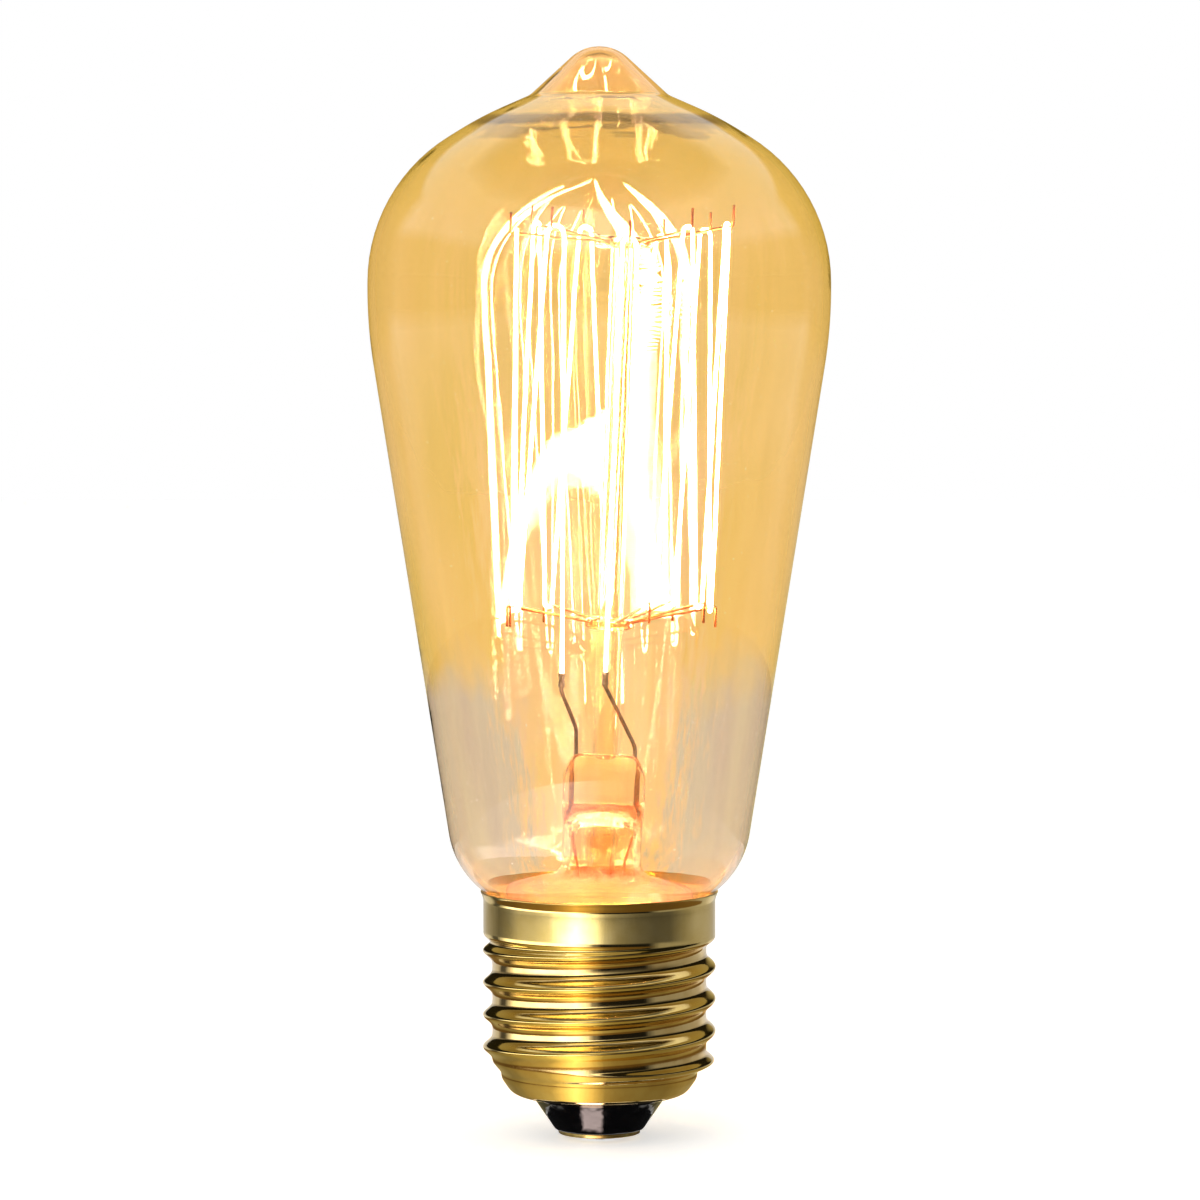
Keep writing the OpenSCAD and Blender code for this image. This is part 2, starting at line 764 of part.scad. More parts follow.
module cap_shell() {
    color(brass)
        difference() {
            union() {
                rotate_extrude()
                    polygon(concat(
                        collar_outline(0),
                        reversed(collar_outline(sheet_thickness))
                    ));
                thread_band();
                rotate_extrude()
                    polygon(concat(
                        shoulder_outline(0),
                        reversed(shoulder_outline(sheet_thickness))
                    ));
            }
            side_hole(sheet_thickness * 6);
        }
}

module capping_cement() {
    color([0.85, 0.8, 0.7])
        difference() {
            translate([0, 0, cement_z])
                cylinder(r = collar_bore_r, h = cement_top_z - cement_z);
            rotate_extrude()
                polygon(concat(
                    [[0, neck_end_z - cut], [neck_r, neck_end_z - cut]],
                    bulb_outline(0)
                ));
            translate([0, side_lead_r, cement_z - cut])
                cylinder(r = lead_r, h = side_hole_z + lead_r - cement_z + cut);
            side_hole(collar_bore_r);
        }
}

module cap_insulator() {
    foot_r = contact_diameter / 2 + insulator_foot_margin;
    color([0.06, 0.05, 0.06])
        rotate_extrude()
            polygon(concat(
                [[insulator_hole_diameter / 2, foot_z]],
                corner_arc([0, foot_z], [foot_r, foot_z], [mouth_r, mouth_z], 0.5, 0),
                [[mouth_r, mouth_z]],
                [for (p = shoulder_outline(sheet_thickness))
                    if (p[1] < mouth_z + insulator_floor) p],
                [
                    [shoulder_r - 3, mouth_z + insulator_floor],
                    [insulator_hole_diameter / 2, mouth_z + insulator_floor]
                ]
            ));
}

eyelet_r = 0.9;

module contact_plate() {
    color(brass)
        difference() {
            translate([0, 0, plate_z])
                cylinder(d = contact_diameter, h = contact_thickness);
            translate([0, 0, plate_z - cut])
                cylinder(r = eyelet_r, h = contact_thickness + 2 * cut);
        }
}

module centre_solder() {
    dome_r = solder_diameter / 2;
    flat_r = solder_flat_diameter / 2;
    color(solder)
        difference() {
            rotate_extrude()
                polygon(concat(
                    [[0, 0]],
                    [for (k = [0:arc_steps])
                        let (t = 90 * k / arc_steps)
                        [flat_r + (dome_r - flat_r) * sin(t), solder_height * (1 - cos(t))]],
                    [[eyelet_r, plate_z], [eyelet_r, foot_z], [0, foot_z]]
                ));
            translate([0, 0, solder_height * 0.6])
                cylinder(r = lead_r, h = foot_z);
        }
}

// A flat blob with a sloping edge, wrapped round the collar over the lead's end
module side_solder() {
    bead_r = side_bead_diameter / 2;
    root_y = collar_r - cut;
    top_r = bead_r - side_bead_edge;
    slope = side_bead_edge / side_bead_height;
    color(solder)
        difference() {
            intersection() {
                translate([0, root_y, side_hole_z])
                    rotate([-90, 0, 0])
                        cylinder(r1 = bead_r + cut * slope, r2 = top_r, h = cut + side_bead_height);
                translate([0, 0, side_hole_z - bead_r - 2])
                    cylinder(r = collar_r + side_bead_height, h = 2 * bead_r + 4, $fn = thin_fn);
            }
            translate([0, 0, side_hole_z - bead_r - 3])
                cylinder(r = collar_r, h = 2 * bead_r + 6, $fn = thin_fn);
            side_hole(side_lead_end - side_lead_r);
        }
}

envelope();
stem_flare();
exhaust_tube();
arbor_rod();
upper_button();
lower_button();
for (i = [1:len(upper_hooks)])
    upper_support(upper_hooks[i - 1]);
for (i = [1:len(lower_hooks)])
    lower_support(lower_hooks[i - 1]);
filament();
inner_lead_left();
inner_lead_right();
seal_wire(-1);  // seal_wire_left
seal_wire(1);  // seal_wire_right
side_lead();
centre_lead();
cap_shell();
capping_cement();
cap_insulator();
contact_plate();
centre_solder();
side_solder();
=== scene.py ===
import math

import bmesh
import bpy
from mathutils import Matrix, Vector, noise


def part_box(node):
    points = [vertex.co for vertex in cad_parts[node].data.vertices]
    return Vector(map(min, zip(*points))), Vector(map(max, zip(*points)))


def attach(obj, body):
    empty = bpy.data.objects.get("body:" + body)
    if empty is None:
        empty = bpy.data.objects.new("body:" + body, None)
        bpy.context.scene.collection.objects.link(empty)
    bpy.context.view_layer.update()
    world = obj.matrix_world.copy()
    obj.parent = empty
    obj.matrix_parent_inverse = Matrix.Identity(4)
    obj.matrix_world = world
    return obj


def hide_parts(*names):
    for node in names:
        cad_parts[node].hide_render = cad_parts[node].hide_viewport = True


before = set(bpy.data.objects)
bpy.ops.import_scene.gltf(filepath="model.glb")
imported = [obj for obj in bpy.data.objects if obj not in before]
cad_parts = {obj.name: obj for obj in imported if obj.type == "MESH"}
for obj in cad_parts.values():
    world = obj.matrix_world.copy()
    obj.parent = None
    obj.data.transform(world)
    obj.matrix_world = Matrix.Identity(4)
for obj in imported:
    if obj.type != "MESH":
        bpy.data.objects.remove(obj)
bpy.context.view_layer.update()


# The glass stem.
# A tube of lead glass, drawn, flared at the foot and pinched flat over the wires at the
# top while soft (the press). It is melted to the bulb's neck, and leans a little.

# Lengths are in millimetres, and heights go up from the centre contact.

MM = 0.001
scene = bpy.context.scene
neck_end_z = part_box("envelope")[0].z / MM
rim_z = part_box("cap_shell")[1].z / MM
stem_rise = 15.4
press_height = 7.6
press_top_z = rim_z + stem_rise
bore_top_z = press_top_z - press_height
mount_lean = 2.08
stem_radius = 4.45
stem_wall = 0.85
neck_radius = 11.9
glass_wall = 0.8
flare_gap = 0.3
on_axis = 1e-6
lead_glass_ior = 1.56
LEAD_GLASS = "#FFF3DF"
LEAD_GLASS_SHADE = "#FFE3BE"
TUBE_GLASS = "#FFF3E4"
TUBE_GLASS_SHADE = "#FFE2C2"
# Painted glow: orange that stands in for the filament's light on the flare.
FLARE_PAINTED_GLOW = "#FFBC94"
FLARE_PAINTED_GLOW_SHADE = "#F8A478"

lean = (Matrix.Translation((0, 0, neck_end_z * MM))
        @ Matrix.Rotation(math.radians(mount_lean), 4, "Y")
        @ Matrix.Translation((0, 0, -neck_end_z * MM)))


def linear(hex_colour):
    """An sRGB hex colour as linear red, green, blue and alpha."""
    parts = [int(hex_colour[i:i + 2], 16) / 255 for i in (1, 3, 5)]
    return [c / 12.92 if c <= 0.04045 else ((c + 0.055) / 1.055) ** 2.4 for c in parts] + [1.0]


def add(tree, kind, inputs, **settings):
    """Adds a shader node, with its settings, socket values and links."""
    node = tree.nodes.new("ShaderNode" + kind)
    for name, value in settings.items():
        setattr(node, name, value)
    for name, value in inputs.items():
        if isinstance(value, bpy.types.NodeSocket):
            tree.links.new(value, node.inputs[name])
        else:
            node.inputs[name].default_value = value
    return node


def new_material(name):
    """An empty node material."""
    material = bpy.data.materials.new(name)
    material.use_nodes = True
    material.node_tree.nodes.clear()
    return material, material.node_tree


def speckle(tree, size_mm, stretch=(1, 1, 1), detail=2.0, roughness=0.5):
    """Noise over the piece in its own place, with blotches of a real size."""
    where = add(tree, "TexCoord", {}).outputs["Object"]
    scaled = add(tree, "Mapping", {"Vector": where, "Scale": [1 / s for s in stretch]})
    return add(tree, "TexNoise", {
        "Vector": scaled.outputs[0], "Scale": 1 / (size_mm * MM), "Detail": detail,
        "Roughness": roughness,
    }).outputs["Fac"]


def between(tree, share, low, high, a, b):
    """A colour that goes from a to b as share goes from low to high."""
    ramp = add(tree, "ValToRGB", {"Fac": share})
    ramp.color_ramp.elements[0].position = low
    ramp.color_ramp.elements[0].color = linear(a)
    ramp.color_ramp.elements[1].position = high
    ramp.color_ramp.elements[1].color = linear(b)
    return ramp.outputs["Color"]


def glass_surface(tree, colour, relief, roughness, ior, openness=1.0):
    """Glass that bends light. The lamps shine through it onto what is inside."""
    glass = add(tree, "BsdfPrincipled", {
        "Base Color": colour, "Roughness": roughness, "IOR": ior,
        "Transmission Weight": openness, "Normal": relief.outputs[0],
    })
    open_to_lamps = add(tree, "BsdfTransparent", {"Color": colour})
    path = add(tree, "LightPath", {})
    mixed = add(tree, "MixShader", {
        0: path.outputs["Is Shadow Ray"], 1: glass.outputs[0], 2: open_to_lamps.outputs[0],
    })
    add(tree, "OutputMaterial", {"Surface": mixed.outputs[0]})


def clear_glass(name, pale, deep, ior, ripple_mm, ripple_depth, roughness):
    """Clear glass, with faint cords and ripples from being drawn hot."""
    material, tree = new_material(name)
    cords = speckle(tree, ripple_mm, stretch=(1, 1, 5))
    colour = between(tree, cords, 0.35, 0.7, pale, deep)
    ripple = add(tree, "Bump", {"Height": cords, "Strength": 0.3, "Distance": ripple_depth * MM})
    glass_surface(tree, colour, ripple, roughness, ior)
    return material


def left_of(run):
    """The direction square to a run, on its left."""
    return Vector((-run.y, run.x)).normalized()


def about_axis(radius, angle, z):
    """The point at a radius and an angle round the cap's axis."""
    return radius * math.cos(angle), radius * math.sin(angle), z


def round_turn(count):
    """Even angles once round."""
    return [2 * math.pi * k / count for k in range(count)]


def eased(share):
    """A share from 0 to 1 that starts and stops gently."""
    share = min(max(share, 0), 1)
    return share * share * (3 - 2 * share)


def rounded(corners, inset=0.0, steps=10):
    """An open outline in mm through (radius, height, fillet) corners, with its solid on
    the left, drawn in by inset."""
    points = [Vector(c[:2]) for c in corners]
    line = [points[0] + inset * left_of(points[1] - points[0])]
    for a, p, b, corner in zip(points, points[1:], points[2:], corners[1:]):
        u, v = (a - p).normalized(), (b - p).normalized()
        half = u.angle(v) / 2
        centre = p + (u + v).normalized() * corner[2] / math.sin(half)
        start = p + u * corner[2] / math.tan(half) - centre
        turn = math.pi - 2 * half
        turn = math.copysign(turn, (p - a).cross(b - p))
        radius = corner[2] - math.copysign(inset, turn)
        first = math.atan2(start.y, start.x)
        for k in range(steps + 1):
            angle = first + turn * k / steps
            line.append(centre + radius * Vector((math.cos(angle), math.sin(angle))))
    line.append(points[-1] + inset * left_of(points[-1] - points[-2]))
    return [(p.x, p.y) for p in line]


def skin(name, rings, closed_loop=False, sharp_degrees=35):
    """A smooth-shaded solid over rings of points in mm. The rings run along its length,
    or round a closed loop, and a ring of one point is a tip."""
    work = bmesh.new()
    rows = [[work.verts.new(Vector(p) * MM) for p in ring] for ring in rings]
    pairs = list(zip(rows, rows[1:]))
    if closed_loop:
        pairs.append((rows[-1], rows[0]))
    else:
        for end in (rows[0], rows[-1]):
            if len(end) > 2:
                work.faces.new(end)
    for low, high in pairs:
        count = max(len(low), len(high))
        for k in range(count):
            j = (k + 1) % count
            corners = [low[k % len(low)], low[j % len(low)], high[j % len(high)], high[k % len(high)]]
            face = list(dict.fromkeys(corners))
            if len(face) > 2:
                work.faces.new(face)
    bmesh.ops.recalc_face_normals(work, faces=work.faces)
    mesh = bpy.data.meshes.new(name)
    work.to_mesh(mesh)
    work.free()
    mesh.polygons.foreach_set("use_smooth", [True] * len(mesh.polygons))
    mesh.set_sharp_from_angle(angle=math.radians(sharp_degrees))
    return mesh


def true_round(radius, height, angle):
    return 0.0


def turned_rings(loop, around, uneven=true_round):
    """Rings about the axis through (radius, height) points in mm. uneven(radius, height,
    angle) gives how far a point lies off the true radius."""
    return [[(0, 0, height)] if radius < on_axis else
            [about_axis(radius + uneven(radius, height, angle), angle, height)
             for angle in round_turn(around)]
            for radius, height in loop]


def turned(name, loop, around, uneven=true_round):
    """A solid turned about the axis from a closed loop."""
    return skin(name, turned_rings(loop, around, uneven), closed_loop=True)


def place(mesh, material, node):
    """Puts a finished mesh on the lamp under its own name, in place of its CAD node."""
    piece = bpy.data.objects.new(mesh.name, mesh)
    scene.collection.objects.link(piece)
    mesh.materials.append(material)
    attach(piece, "root")
    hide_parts(node)


# Drawn lead glass is warm and brilliant, and its cords bend what is seen through it.
stem_glass = clear_glass(
    "drawn_lead_glass", LEAD_GLASS, LEAD_GLASS_SHADE, lead_glass_ior,
    ripple_mm=1.6, ripple_depth=0.12, roughness=0.02)


def flame_worked_glass(name):
    """Lead glass that the flame has left milky at the flare, where it scatters the filament's
    light, and frothy at the fold of the press. Its orange there is a painted glow of that
    light. Real bubbles there are finer."""
    material, tree = new_material(name)
    where = add(tree, "TexCoord", {}).outputs["Object"]
    height = add(tree, "SeparateXYZ", {"Vector": where}).outputs["Z"]
    cords = speckle(tree, 1.6, stretch=(1, 1, 5))
    seeds = speckle(tree, 0.8, roughness=0.6)
    ragged = add(tree, "Math", {0: seeds, 1: 3.0 * MM, 2: height}, operation="MULTIPLY_ADD").outputs[0]
    clear = add(tree, "MapRange", {
        "Value": ragged, "From Min": milky_to_z * MM, "From Max": clear_from_z * MM}).outputs[0]
    tube = between(tree, cords, 0.3, 0.75, TUBE_GLASS, TUBE_GLASS_SHADE)
    # Painted glow: the flare is coloured orange as if lit by the filament.
    foot = between(tree, seeds, 0.3, 0.7, FLARE_PAINTED_GLOW, FLARE_PAINTED_GLOW_SHADE)
    colour = add(tree, "Mix", {0: clear, 6: foot, 7: tube}, data_type="RGBA").outputs[2]
    openness = add(tree, "MapRange", {"Value": clear, "To Min": 0.5, "To Max": 1.0}).outputs[0]
    ripple = add(tree, "Bump", {"Height": cords, "Strength": 0.3, "Distance": 0.12 * MM}).outputs[0]
    # The froth was folded in where the pincers closed the bore.
    off_fold = add(tree, "Math", {0: height, 1: fold_z * MM}, operation="SUBTRACT").outputs[0]
    off_fold = add(tree, "Math", {0: off_fold}, operation="ABSOLUTE").outputs[0]
    fold = add(tree, "MapRange", {"Value": off_fold, "From Min": 2.0 * MM, "From Max": 0.6 * MM}).outputs[0]
    froth = add(tree, "Bump", {"Height": seeds, "Strength": fold, "Distance": 0.22 * MM, "Normal": ripple})
    glass_surface(tree, colour, froth, 0.03, lead_glass_ior, openness)
    return material


milky_to_z = rim_z + 2.2
clear_from_z = rim_z + 4.2
fold_z = bore_top_z + 0.4
flare_glass = flame_worked_glass("flame_worked_lead_glass")

ring_points = 48
flare_radius = neck_radius - glass_wall - flare_gap
flare_corners = [
    (flare_radius, neck_end_z, 0),
    (flare_radius, rim_z - 0.2, 1.0),
    (stem_radius, rim_z + 1.7, 2.2),
    (stem_radius, bore_top_z, 0),
]


def slab_ring(width, thickness, z):
    """A level ring with straight sides and round ends, as the pincers leave the press."""
    half = (width - thickness) / 2
    ring = []
    for angle in round_turn(ring_points):
        x = thickness / 2 * math.cos(angle)
        ring.append((x + math.copysign(half, math.cos(angle)) * min(1, abs(math.cos(angle)) * 4),
                     thickness / 2 * math.sin(angle), z))
    return ring


def blended(a, b, share):
    """A ring part of the way from one ring to another."""
    return [tuple(Vector(p).lerp(Vector(q), share)) for p, q in zip(a, b)]


def round_ring(radius, z):
    """A level ring about the axis."""
    return [about_axis(radius, angle, z) for angle in round_turn(ring_points)]


press_width = 9.3
press_thickness = 4.0
press_top_width = 7.7
pinch_foot_z = bore_top_z - 1.0
pinch_top_z = bore_top_z + 2.2
bore_dome_z = bore_top_z - 0.8
bore_dome_height = 1.3
bore_flat = 2.4
bore_radius = stem_radius - stem_wall
outer_rings = turned_rings(rounded(flare_corners)[:-1], ring_points)
for share in (0.0, 0.1, 0.25, 0.45, 0.65, 0.82, 0.94, 1.0):
    z = pinch_foot_z + (pinch_top_z - pinch_foot_z) * share
    outer_rings.append(blended(
        round_ring(stem_radius, z), slab_ring(press_width, press_thickness, z), eased(share)))
for rise, shrink in ((0.55, 0.0), (0.75, 0.25), (0.88, 0.62), (0.95, 1.0), (0.985, 1.5), (1.0, 2.3)):
    width = press_width + (press_top_width - press_width) * max(0, rise - 0.5) * 2
    z = pinch_top_z + (press_top_z - pinch_top_z) * rise
    outer_rings.append(slab_ring(width - shrink * 0.8, press_thickness - shrink, z))
inner_rings = turned_rings(rounded(flare_corners, inset=stem_wall)[:-1], ring_points)
for share in (0.25, 0.5, 0.75, 0.92):
    closing = math.sqrt(1 - share * share)
    z = bore_dome_z + bore_dome_height * share
    inner_rings.append(blended(round_ring(bore_radius * closing, z),
                               slab_ring(2 * bore_radius * closing, bore_flat * closing, z), share))
inner_rings.append([(0, 0, bore_dome_z + bore_dome_height)])
stem_rings = [[(0, 0, press_top_z - 0.05)]] + outer_rings[::-1] + inner_rings
stem_mesh = skin("stem_glass", stem_rings, sharp_degrees=50)
stem_mesh.transform(lean)
place(stem_mesh, flare_glass, "stem_flare")


# The exhaust tube.
# A thin lead-glass tube inside the stem, through which the bulb was pumped out. It is
# melted into the press at its top and tipped off at its foot, down in the cap.

exhaust_radius = 1.55
exhaust_wall = 0.6
exhaust_length = 19.5
exhaust_foot_z = bore_top_z - exhaust_length
exhaust_corners = [(0, exhaust_foot_z, 0), (exhaust_radius, exhaust_foot_z, 1.0),
                   (exhaust_radius, bore_top_z - 0.05, 0)]
exhaust_loop = rounded(exhaust_corners) + rounded(exhaust_corners, inset=exhaust_wall)[::-1]
exhaust_mesh = turned("exhaust_glass", exhaust_loop, around=32)
exhaust_mesh.transform(lean)
place(exhaust_mesh, stem_glass, "exhaust_tube")


# The sealing wires.
# Two short copper-clad wires fused into the press, one for each lead. Borax has turned
# them violet-red where the glass has wetted them.

seal_x = 3.3
seal_wire_radius = 0.2


def drawn_metal(name, bright, dull, roughness, patch_mm):
    """Drawn wire or sheet with an uneven dull film, which breaks up its shine. The draw
    marks are a few hundredths of a millimetre wide, and are drawn far coarser to show."""
    material, tree = new_material(name)
    film = speckle(tree, patch_mm, detail=4.0)
    scratches = speckle(tree, patch_mm * 0.3, stretch=(1, 1, 4), detail=3.0)
    dullness = add(tree, "MapRange", {
        "Value": film, "From Min": 0.3, "From Max": 0.7,
        "To Min": roughness * 0.7, "To Max": roughness * 1.4,
    })
    grooves = add(tree, "Bump", {"Height": scratches, "Strength": 0.25, "Distance": 0.02 * MM})
    metal = add(tree, "BsdfPrincipled", {
        "Base Color": between(tree, film, 0.3, 0.7, bright, dull), "Metallic": 1.0,
        "Roughness": dullness.outputs[0], "Normal": grooves.outputs[0],
    })
    add(tree, "OutputMaterial", {"Surface": metal.outputs[0]})
    return material


def through(points, steps=6):
    """A smooth run through points in mm."""
    points = [Vector(p) for p in points]
    ends = [2 * points[0] - points[1]] + points + [2 * points[-1] - points[-2]]
    run = []
    for a, b, c, d in zip(ends, ends[1:], ends[2:], ends[3:]):
        for k in range(steps):
            t = k / steps
            run.append(0.5 * (2 * b + (c - a) * t + (2 * a - 5 * b + 4 * c - d) * t ** 2
                              + (3 * b - a - 3 * c + d) * t ** 3))
    run.append(points[-1])
    return run


def frames_along(path):
    """For each point of a run, two directions across it that don't twist."""
    runs = [(b - a).normalized() for a, b in zip(path, path[1:])]
    runs.append(runs[-1])
    aside = runs[0].orthogonal().normalized()
    frames = []
    for before, after in zip([runs[0]] + runs, runs):
        along = (before + after).normalized()
        aside = (aside - aside.dot(along) * along).normalized()
        frames.append((aside, along.cross(aside)))
    return frames


def round_wire(name, path, radius, sides=10):
    """A wire of round section along a run in mm, with its cut ends slightly rounded."""
    path = [Vector(p) for p in path]
    start = (path[1] - path[0]).normalized() * radius * 0.4
    stop = (path[-1] - path[-2]).normalized() * radius * 0.4
    line = [path[0], path[0] + start] + path[1:-1] + [path[-1] - stop, path[-1]]
    radii = [radius * 0.6] + [radius] * (len(line) - 2) + [radius * 0.6]
    rings = []
    for p, r, (u, v) in zip(line, radii, frames_along(line)):
        rings.append([p + r * (math.cos(t) * u + math.sin(t) * v) for t in round_turn(sides)])
    return skin(name, rings, sharp_degrees=50)


# Copper under a glaze of borax looks a soft red-brown through the glass.
sealing_wire = drawn_metal("borated_copper_clad_wire", "#B98C6A", "#8A6048", 0.4, patch_mm=0.6)
for side, name in ((-1, "left"), (1, "right")):
    wire_mesh = round_wire(f"sealing_wire_{name}", [
        (side * seal_x, 0, bore_top_z), (side * seal_x, 0, press_top_z)], seal_wire_radius)
    wire_mesh.transform(lean)
    place(wire_mesh, sealing_wire, f"seal_wire_{name}")


# The outer leads.
# Two soft copper wires from the foot of the press down the stem: one to the collar of the
# cap, at the back, and one through the insulator to the centre contact.

lead_radius = 0.17
# Soft copper, still orange, with the matt bloom that annealing leaves.
copper = drawn_metal("annealed_copper_wire", "#E8935A", "#C06A38", 0.35, patch_mm=0.8)
under_neck_z = neck_end_z - 0.5
side_hole_z = rim_z - 2.5
side_lead_radius = 12.325
collar_radius = 13.05
insulator_top_z = 7.15


def leaned(x, y, z):
    """A point in mm, leaned over with the stem."""
    return lean @ (Vector((x, y, z)) * MM) / MM


side_run = through([
    leaned(-seal_x, 0, bore_top_z), leaned(-seal_x, 0, bore_top_z - 1), (-2.3, 0, rim_z + 1),
    (-2.1, 0.6, rim_z - 1.6), (-1.4, 3.5, under_neck_z + 0.3), (0, 9, under_neck_z),
    (0, side_lead_radius - 0.2, under_neck_z)])
side_run += [Vector((0, y, z)) for y, z in (
    (side_lead_radius, under_neck_z + 0.2), (side_lead_radius, side_hole_z - 0.2),
    (side_lead_radius + 0.2, side_hole_z), (collar_radius + 0.1, side_hole_z))]
place(round_wire("side_lead_wire", side_run, lead_radius), copper, "side_lead")
centre_run = through([
    leaned(seal_x, 0, bore_top_z), leaned(seal_x, 0, bore_top_z - 1), (2.5, 0, rim_z + 1),
    (2.1, 0, rim_z - 8), (1.7, 0, rim_z - 13), (0.5, 0, insulator_top_z + 3.5),
    (0, 0, insulator_top_z + 1.5), (0, 0, 0.3)])
place(round_wire("centre_lead_wire", centre_run, lead_radius), copper, "centre_lead")


# The inner leads.
# Nickel wires that rise from the press, bent by hand towards the cage. A short sleeve is
# pinched over each end to grip the filament, and has heated grey-violet.

inner_lead_radius = 0.225
clamp_radius = 0.375
clamp_length = 1.6
# Nickel that the heat has greyed looks dull and almost dark before the bright glass.
nickel = drawn_metal("heat_greyed_nickel", "#9A8F92", "#5E565E", 0.38, patch_mm=0.7)
left_lead_bends = [(-3.35, -0.6, 1.9), (-3.5, -1.2, 3.2), (-5.0, -4.2, 6.9), (-5.15, -4.6, 7.7)]
right_lead_bends = [(3.1, -0.3, 1.3), (2.6, -0.9, 2.3), (0.5, -3.9, 6.4), (-0.35, -5.5, 8.1)]
sleeve_swells = [(0, 0.8), (0.06, 1.0), (0.5, 1.0), (0.7, 0.86), (1.1, 0.86), (1.3, 1.0), (1.54, 1.0),
                 (clamp_length, 0.85)]
sleeve_sides = 16


def joined(meshes, name):
    """Several meshes as one piece."""
    work = bmesh.new()
    for part in meshes:
        work.from_mesh(part)
    mesh = bpy.data.meshes.new(name)
    work.to_mesh(mesh)
    work.free()
    return mesh


for side, name, bends in ((-1, "left", left_lead_bends), (1, "right", right_lead_bends)):
    rise = [(side * seal_x, 0, press_top_z - 0.3), (side * seal_x, 0, press_top_z + 0.6)]
    rise += [(x, y, press_top_z + z) for x, y, z in bends]
    foot = Vector(rise[-1])
    run = through(rise) + [foot + Vector((0, 0, 0.35))]
    sleeve = [[foot + Vector((clamp_radius * swell * math.cos(t),
                              clamp_radius * min(1.0, 1.08 * swell) * math.sin(t), height))
               for t in round_turn(sleeve_sides)] for height, swell in sleeve_swells]
    lead_mesh = joined([round_wire("lead", run, inner_lead_radius), skin("sleeve", sleeve)],
                       f"nickel_lead_{name}")
    lead_mesh.transform(lean)
    place(lead_mesh, nickel, f"inner_lead_{name}")


# The arbor rod.
# A solid rod of lead glass, drawn round and melted into the top of the press. It carries
# the whole cage.

arbor_radius = 1.45
bulb_top_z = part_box("envelope")[1].z / MM
upper_button_z = bulb_top_z - 21.7
lower_button_z = press_top_z + 14.75
arbor_foot_z = press_top_z - 0.6
arbor_top_z = upper_button_z + 0.28
arbor_corners = [(0, arbor_foot_z, 0), (arbor_radius, arbor_foot_z, 0.3),
                 (arbor_radius, arbor_top_z, 0.4), (0, arbor_top_z, 0)]


def slightly_uneven(amount, size_mm):
    """Drawn and hand-worked glass is nowhere quite round."""
    def off(radius, height, angle):
        return amount * noise.noise(Vector(about_axis(radius, angle, height)) / size_mm)
    return off


arbor_mesh = turned("arbor_glass", rounded(arbor_corners), around=40,
                    uneven=slightly_uneven(0.05, 4.0))
arbor_mesh.transform(lean)
place(arbor_mesh, stem_glass, "arbor_rod")


# The buttons.
# Two glass beads melted round the arbor, each squashed to a thick disc while soft, with
# the hook wires stuck into its edge.

button_thickness = 1.4
button_edge = 0.63
melted_in = 0.98
upper_button_radius = 3.2
lower_button_radius = 2.8
for name, radius, middle in (("upper", upper_button_radius, upper_button_z),
                             ("lower", lower_button_radius, lower_button_z)):
    low, high = middle - button_thickness / 2, middle + button_thickness / 2
    bead_corners = [(arbor_radius * melted_in, low, 0), (radius, low, button_edge),
                    (radius, high, button_edge), (arbor_radius * melted_in, high, 0)]
    bead_mesh = turned(f"{name}_bead", rounded(bead_corners), around=64,
                       uneven=slightly_uneven(0.12, 2.2))
    bead_mesh.transform(lean)
    place(bead_mesh, stem_glass, f"{name}_button")


# The hook wires.
# Fine molybdenum wires stuck into the buttons like spokes. Each end is bent into a hook
# that holds the filament, and the heat has left them a rusty red-brown.

hook_radius = 0.15
hook_seat = 1.0
hook_tail = 2.3
hook_bend = 0.4
hook_gap = 0.1
hook_wave = 0.16
shank_steps = 14
bend_steps = 6
filament_radius = 0.225
upper_hook_ring = 12.0
lower_hook_ring = 11.5
upper_hooks = [
    (231, 1.2, 2.4), (180, 0.6, 1.0), (145.5, 1.6, 1.2), (111.5, 1.3, 1.5), (69, 0.6, 1.3),
    (39.5, 1.5, 1.8), (-20, 2.1, 1.3), (-55, 1.6, 1.3), (-87.5, 0.1, 1.5),
]
lower_hooks = [
    (205, 1.7, 1.1), (162, 1.1, 1.2), (128, 1.3, 1.0), (90, 1.9, 1.0), (54, 1.9, 1.2),
    (13, 1.9, 1.0), (-33, 2.9, 1.3), (-70, 3.0, 1.8),
]
# Fine wire that has run hot looks a rusty red-brown, with hardly any shine left.
molybdenum = drawn_metal("heat_tinted_molybdenum", "#B5673F", "#7C3F2A", 0.42, patch_mm=1.2)


def hook_run(angle, rise, button_radius, ring, button_z, way):
    """The wire's run in its own upright plane: out of the bead with the slight waves of
    hand work, past the filament, and round into the tail."""
    seat = Vector((button_radius - hook_seat, 0))
    held = Vector((ring, rise))
    out = (held - seat).normalized()
    tail = Vector((0, way))
    bend = held + out * (filament_radius + hook_gap + hook_bend)
    before, after = bend - out * hook_bend * 0.8, bend + tail * hook_bend * 0.8
    line = []
    for k in range(shank_steps):
        share = k / shank_steps
        wave = hook_wave * math.sin(math.pi * share) * noise.noise(Vector((angle, share * 3, way)))
        line.append(seat.lerp(before, share) + wave * left_of(out))
    for k in range(bend_steps + 1):
        t = k / bend_steps
        line.append(before * (1 - t) ** 2 + bend * 2 * t * (1 - t) + after * t ** 2)
    line.append(bend + tail * hook_tail * 0.6)
    line.append(bend + tail * hook_tail)
    return [about_axis(p.x, math.radians(angle), button_z + p.y) for p in line]


for level, hooks, button_radius, ring, middle, way in (
        ("upper", upper_hooks, upper_button_radius, upper_hook_ring, upper_button_z, 1),
        ("lower", lower_hooks, lower_button_radius, lower_hook_ring, lower_button_z, -1)):
    for i, (angle, rise, width) in enumerate(hooks, 1):
        run = hook_run(angle, rise, button_radius, ring, middle, way)
        hook_mesh = round_wire(f"{level}_hook_{i}", run, hook_radius, sides=8)
        hook_mesh.transform(lean)
        place(hook_mesh, molybdenum, f"{level}_support_{i}")


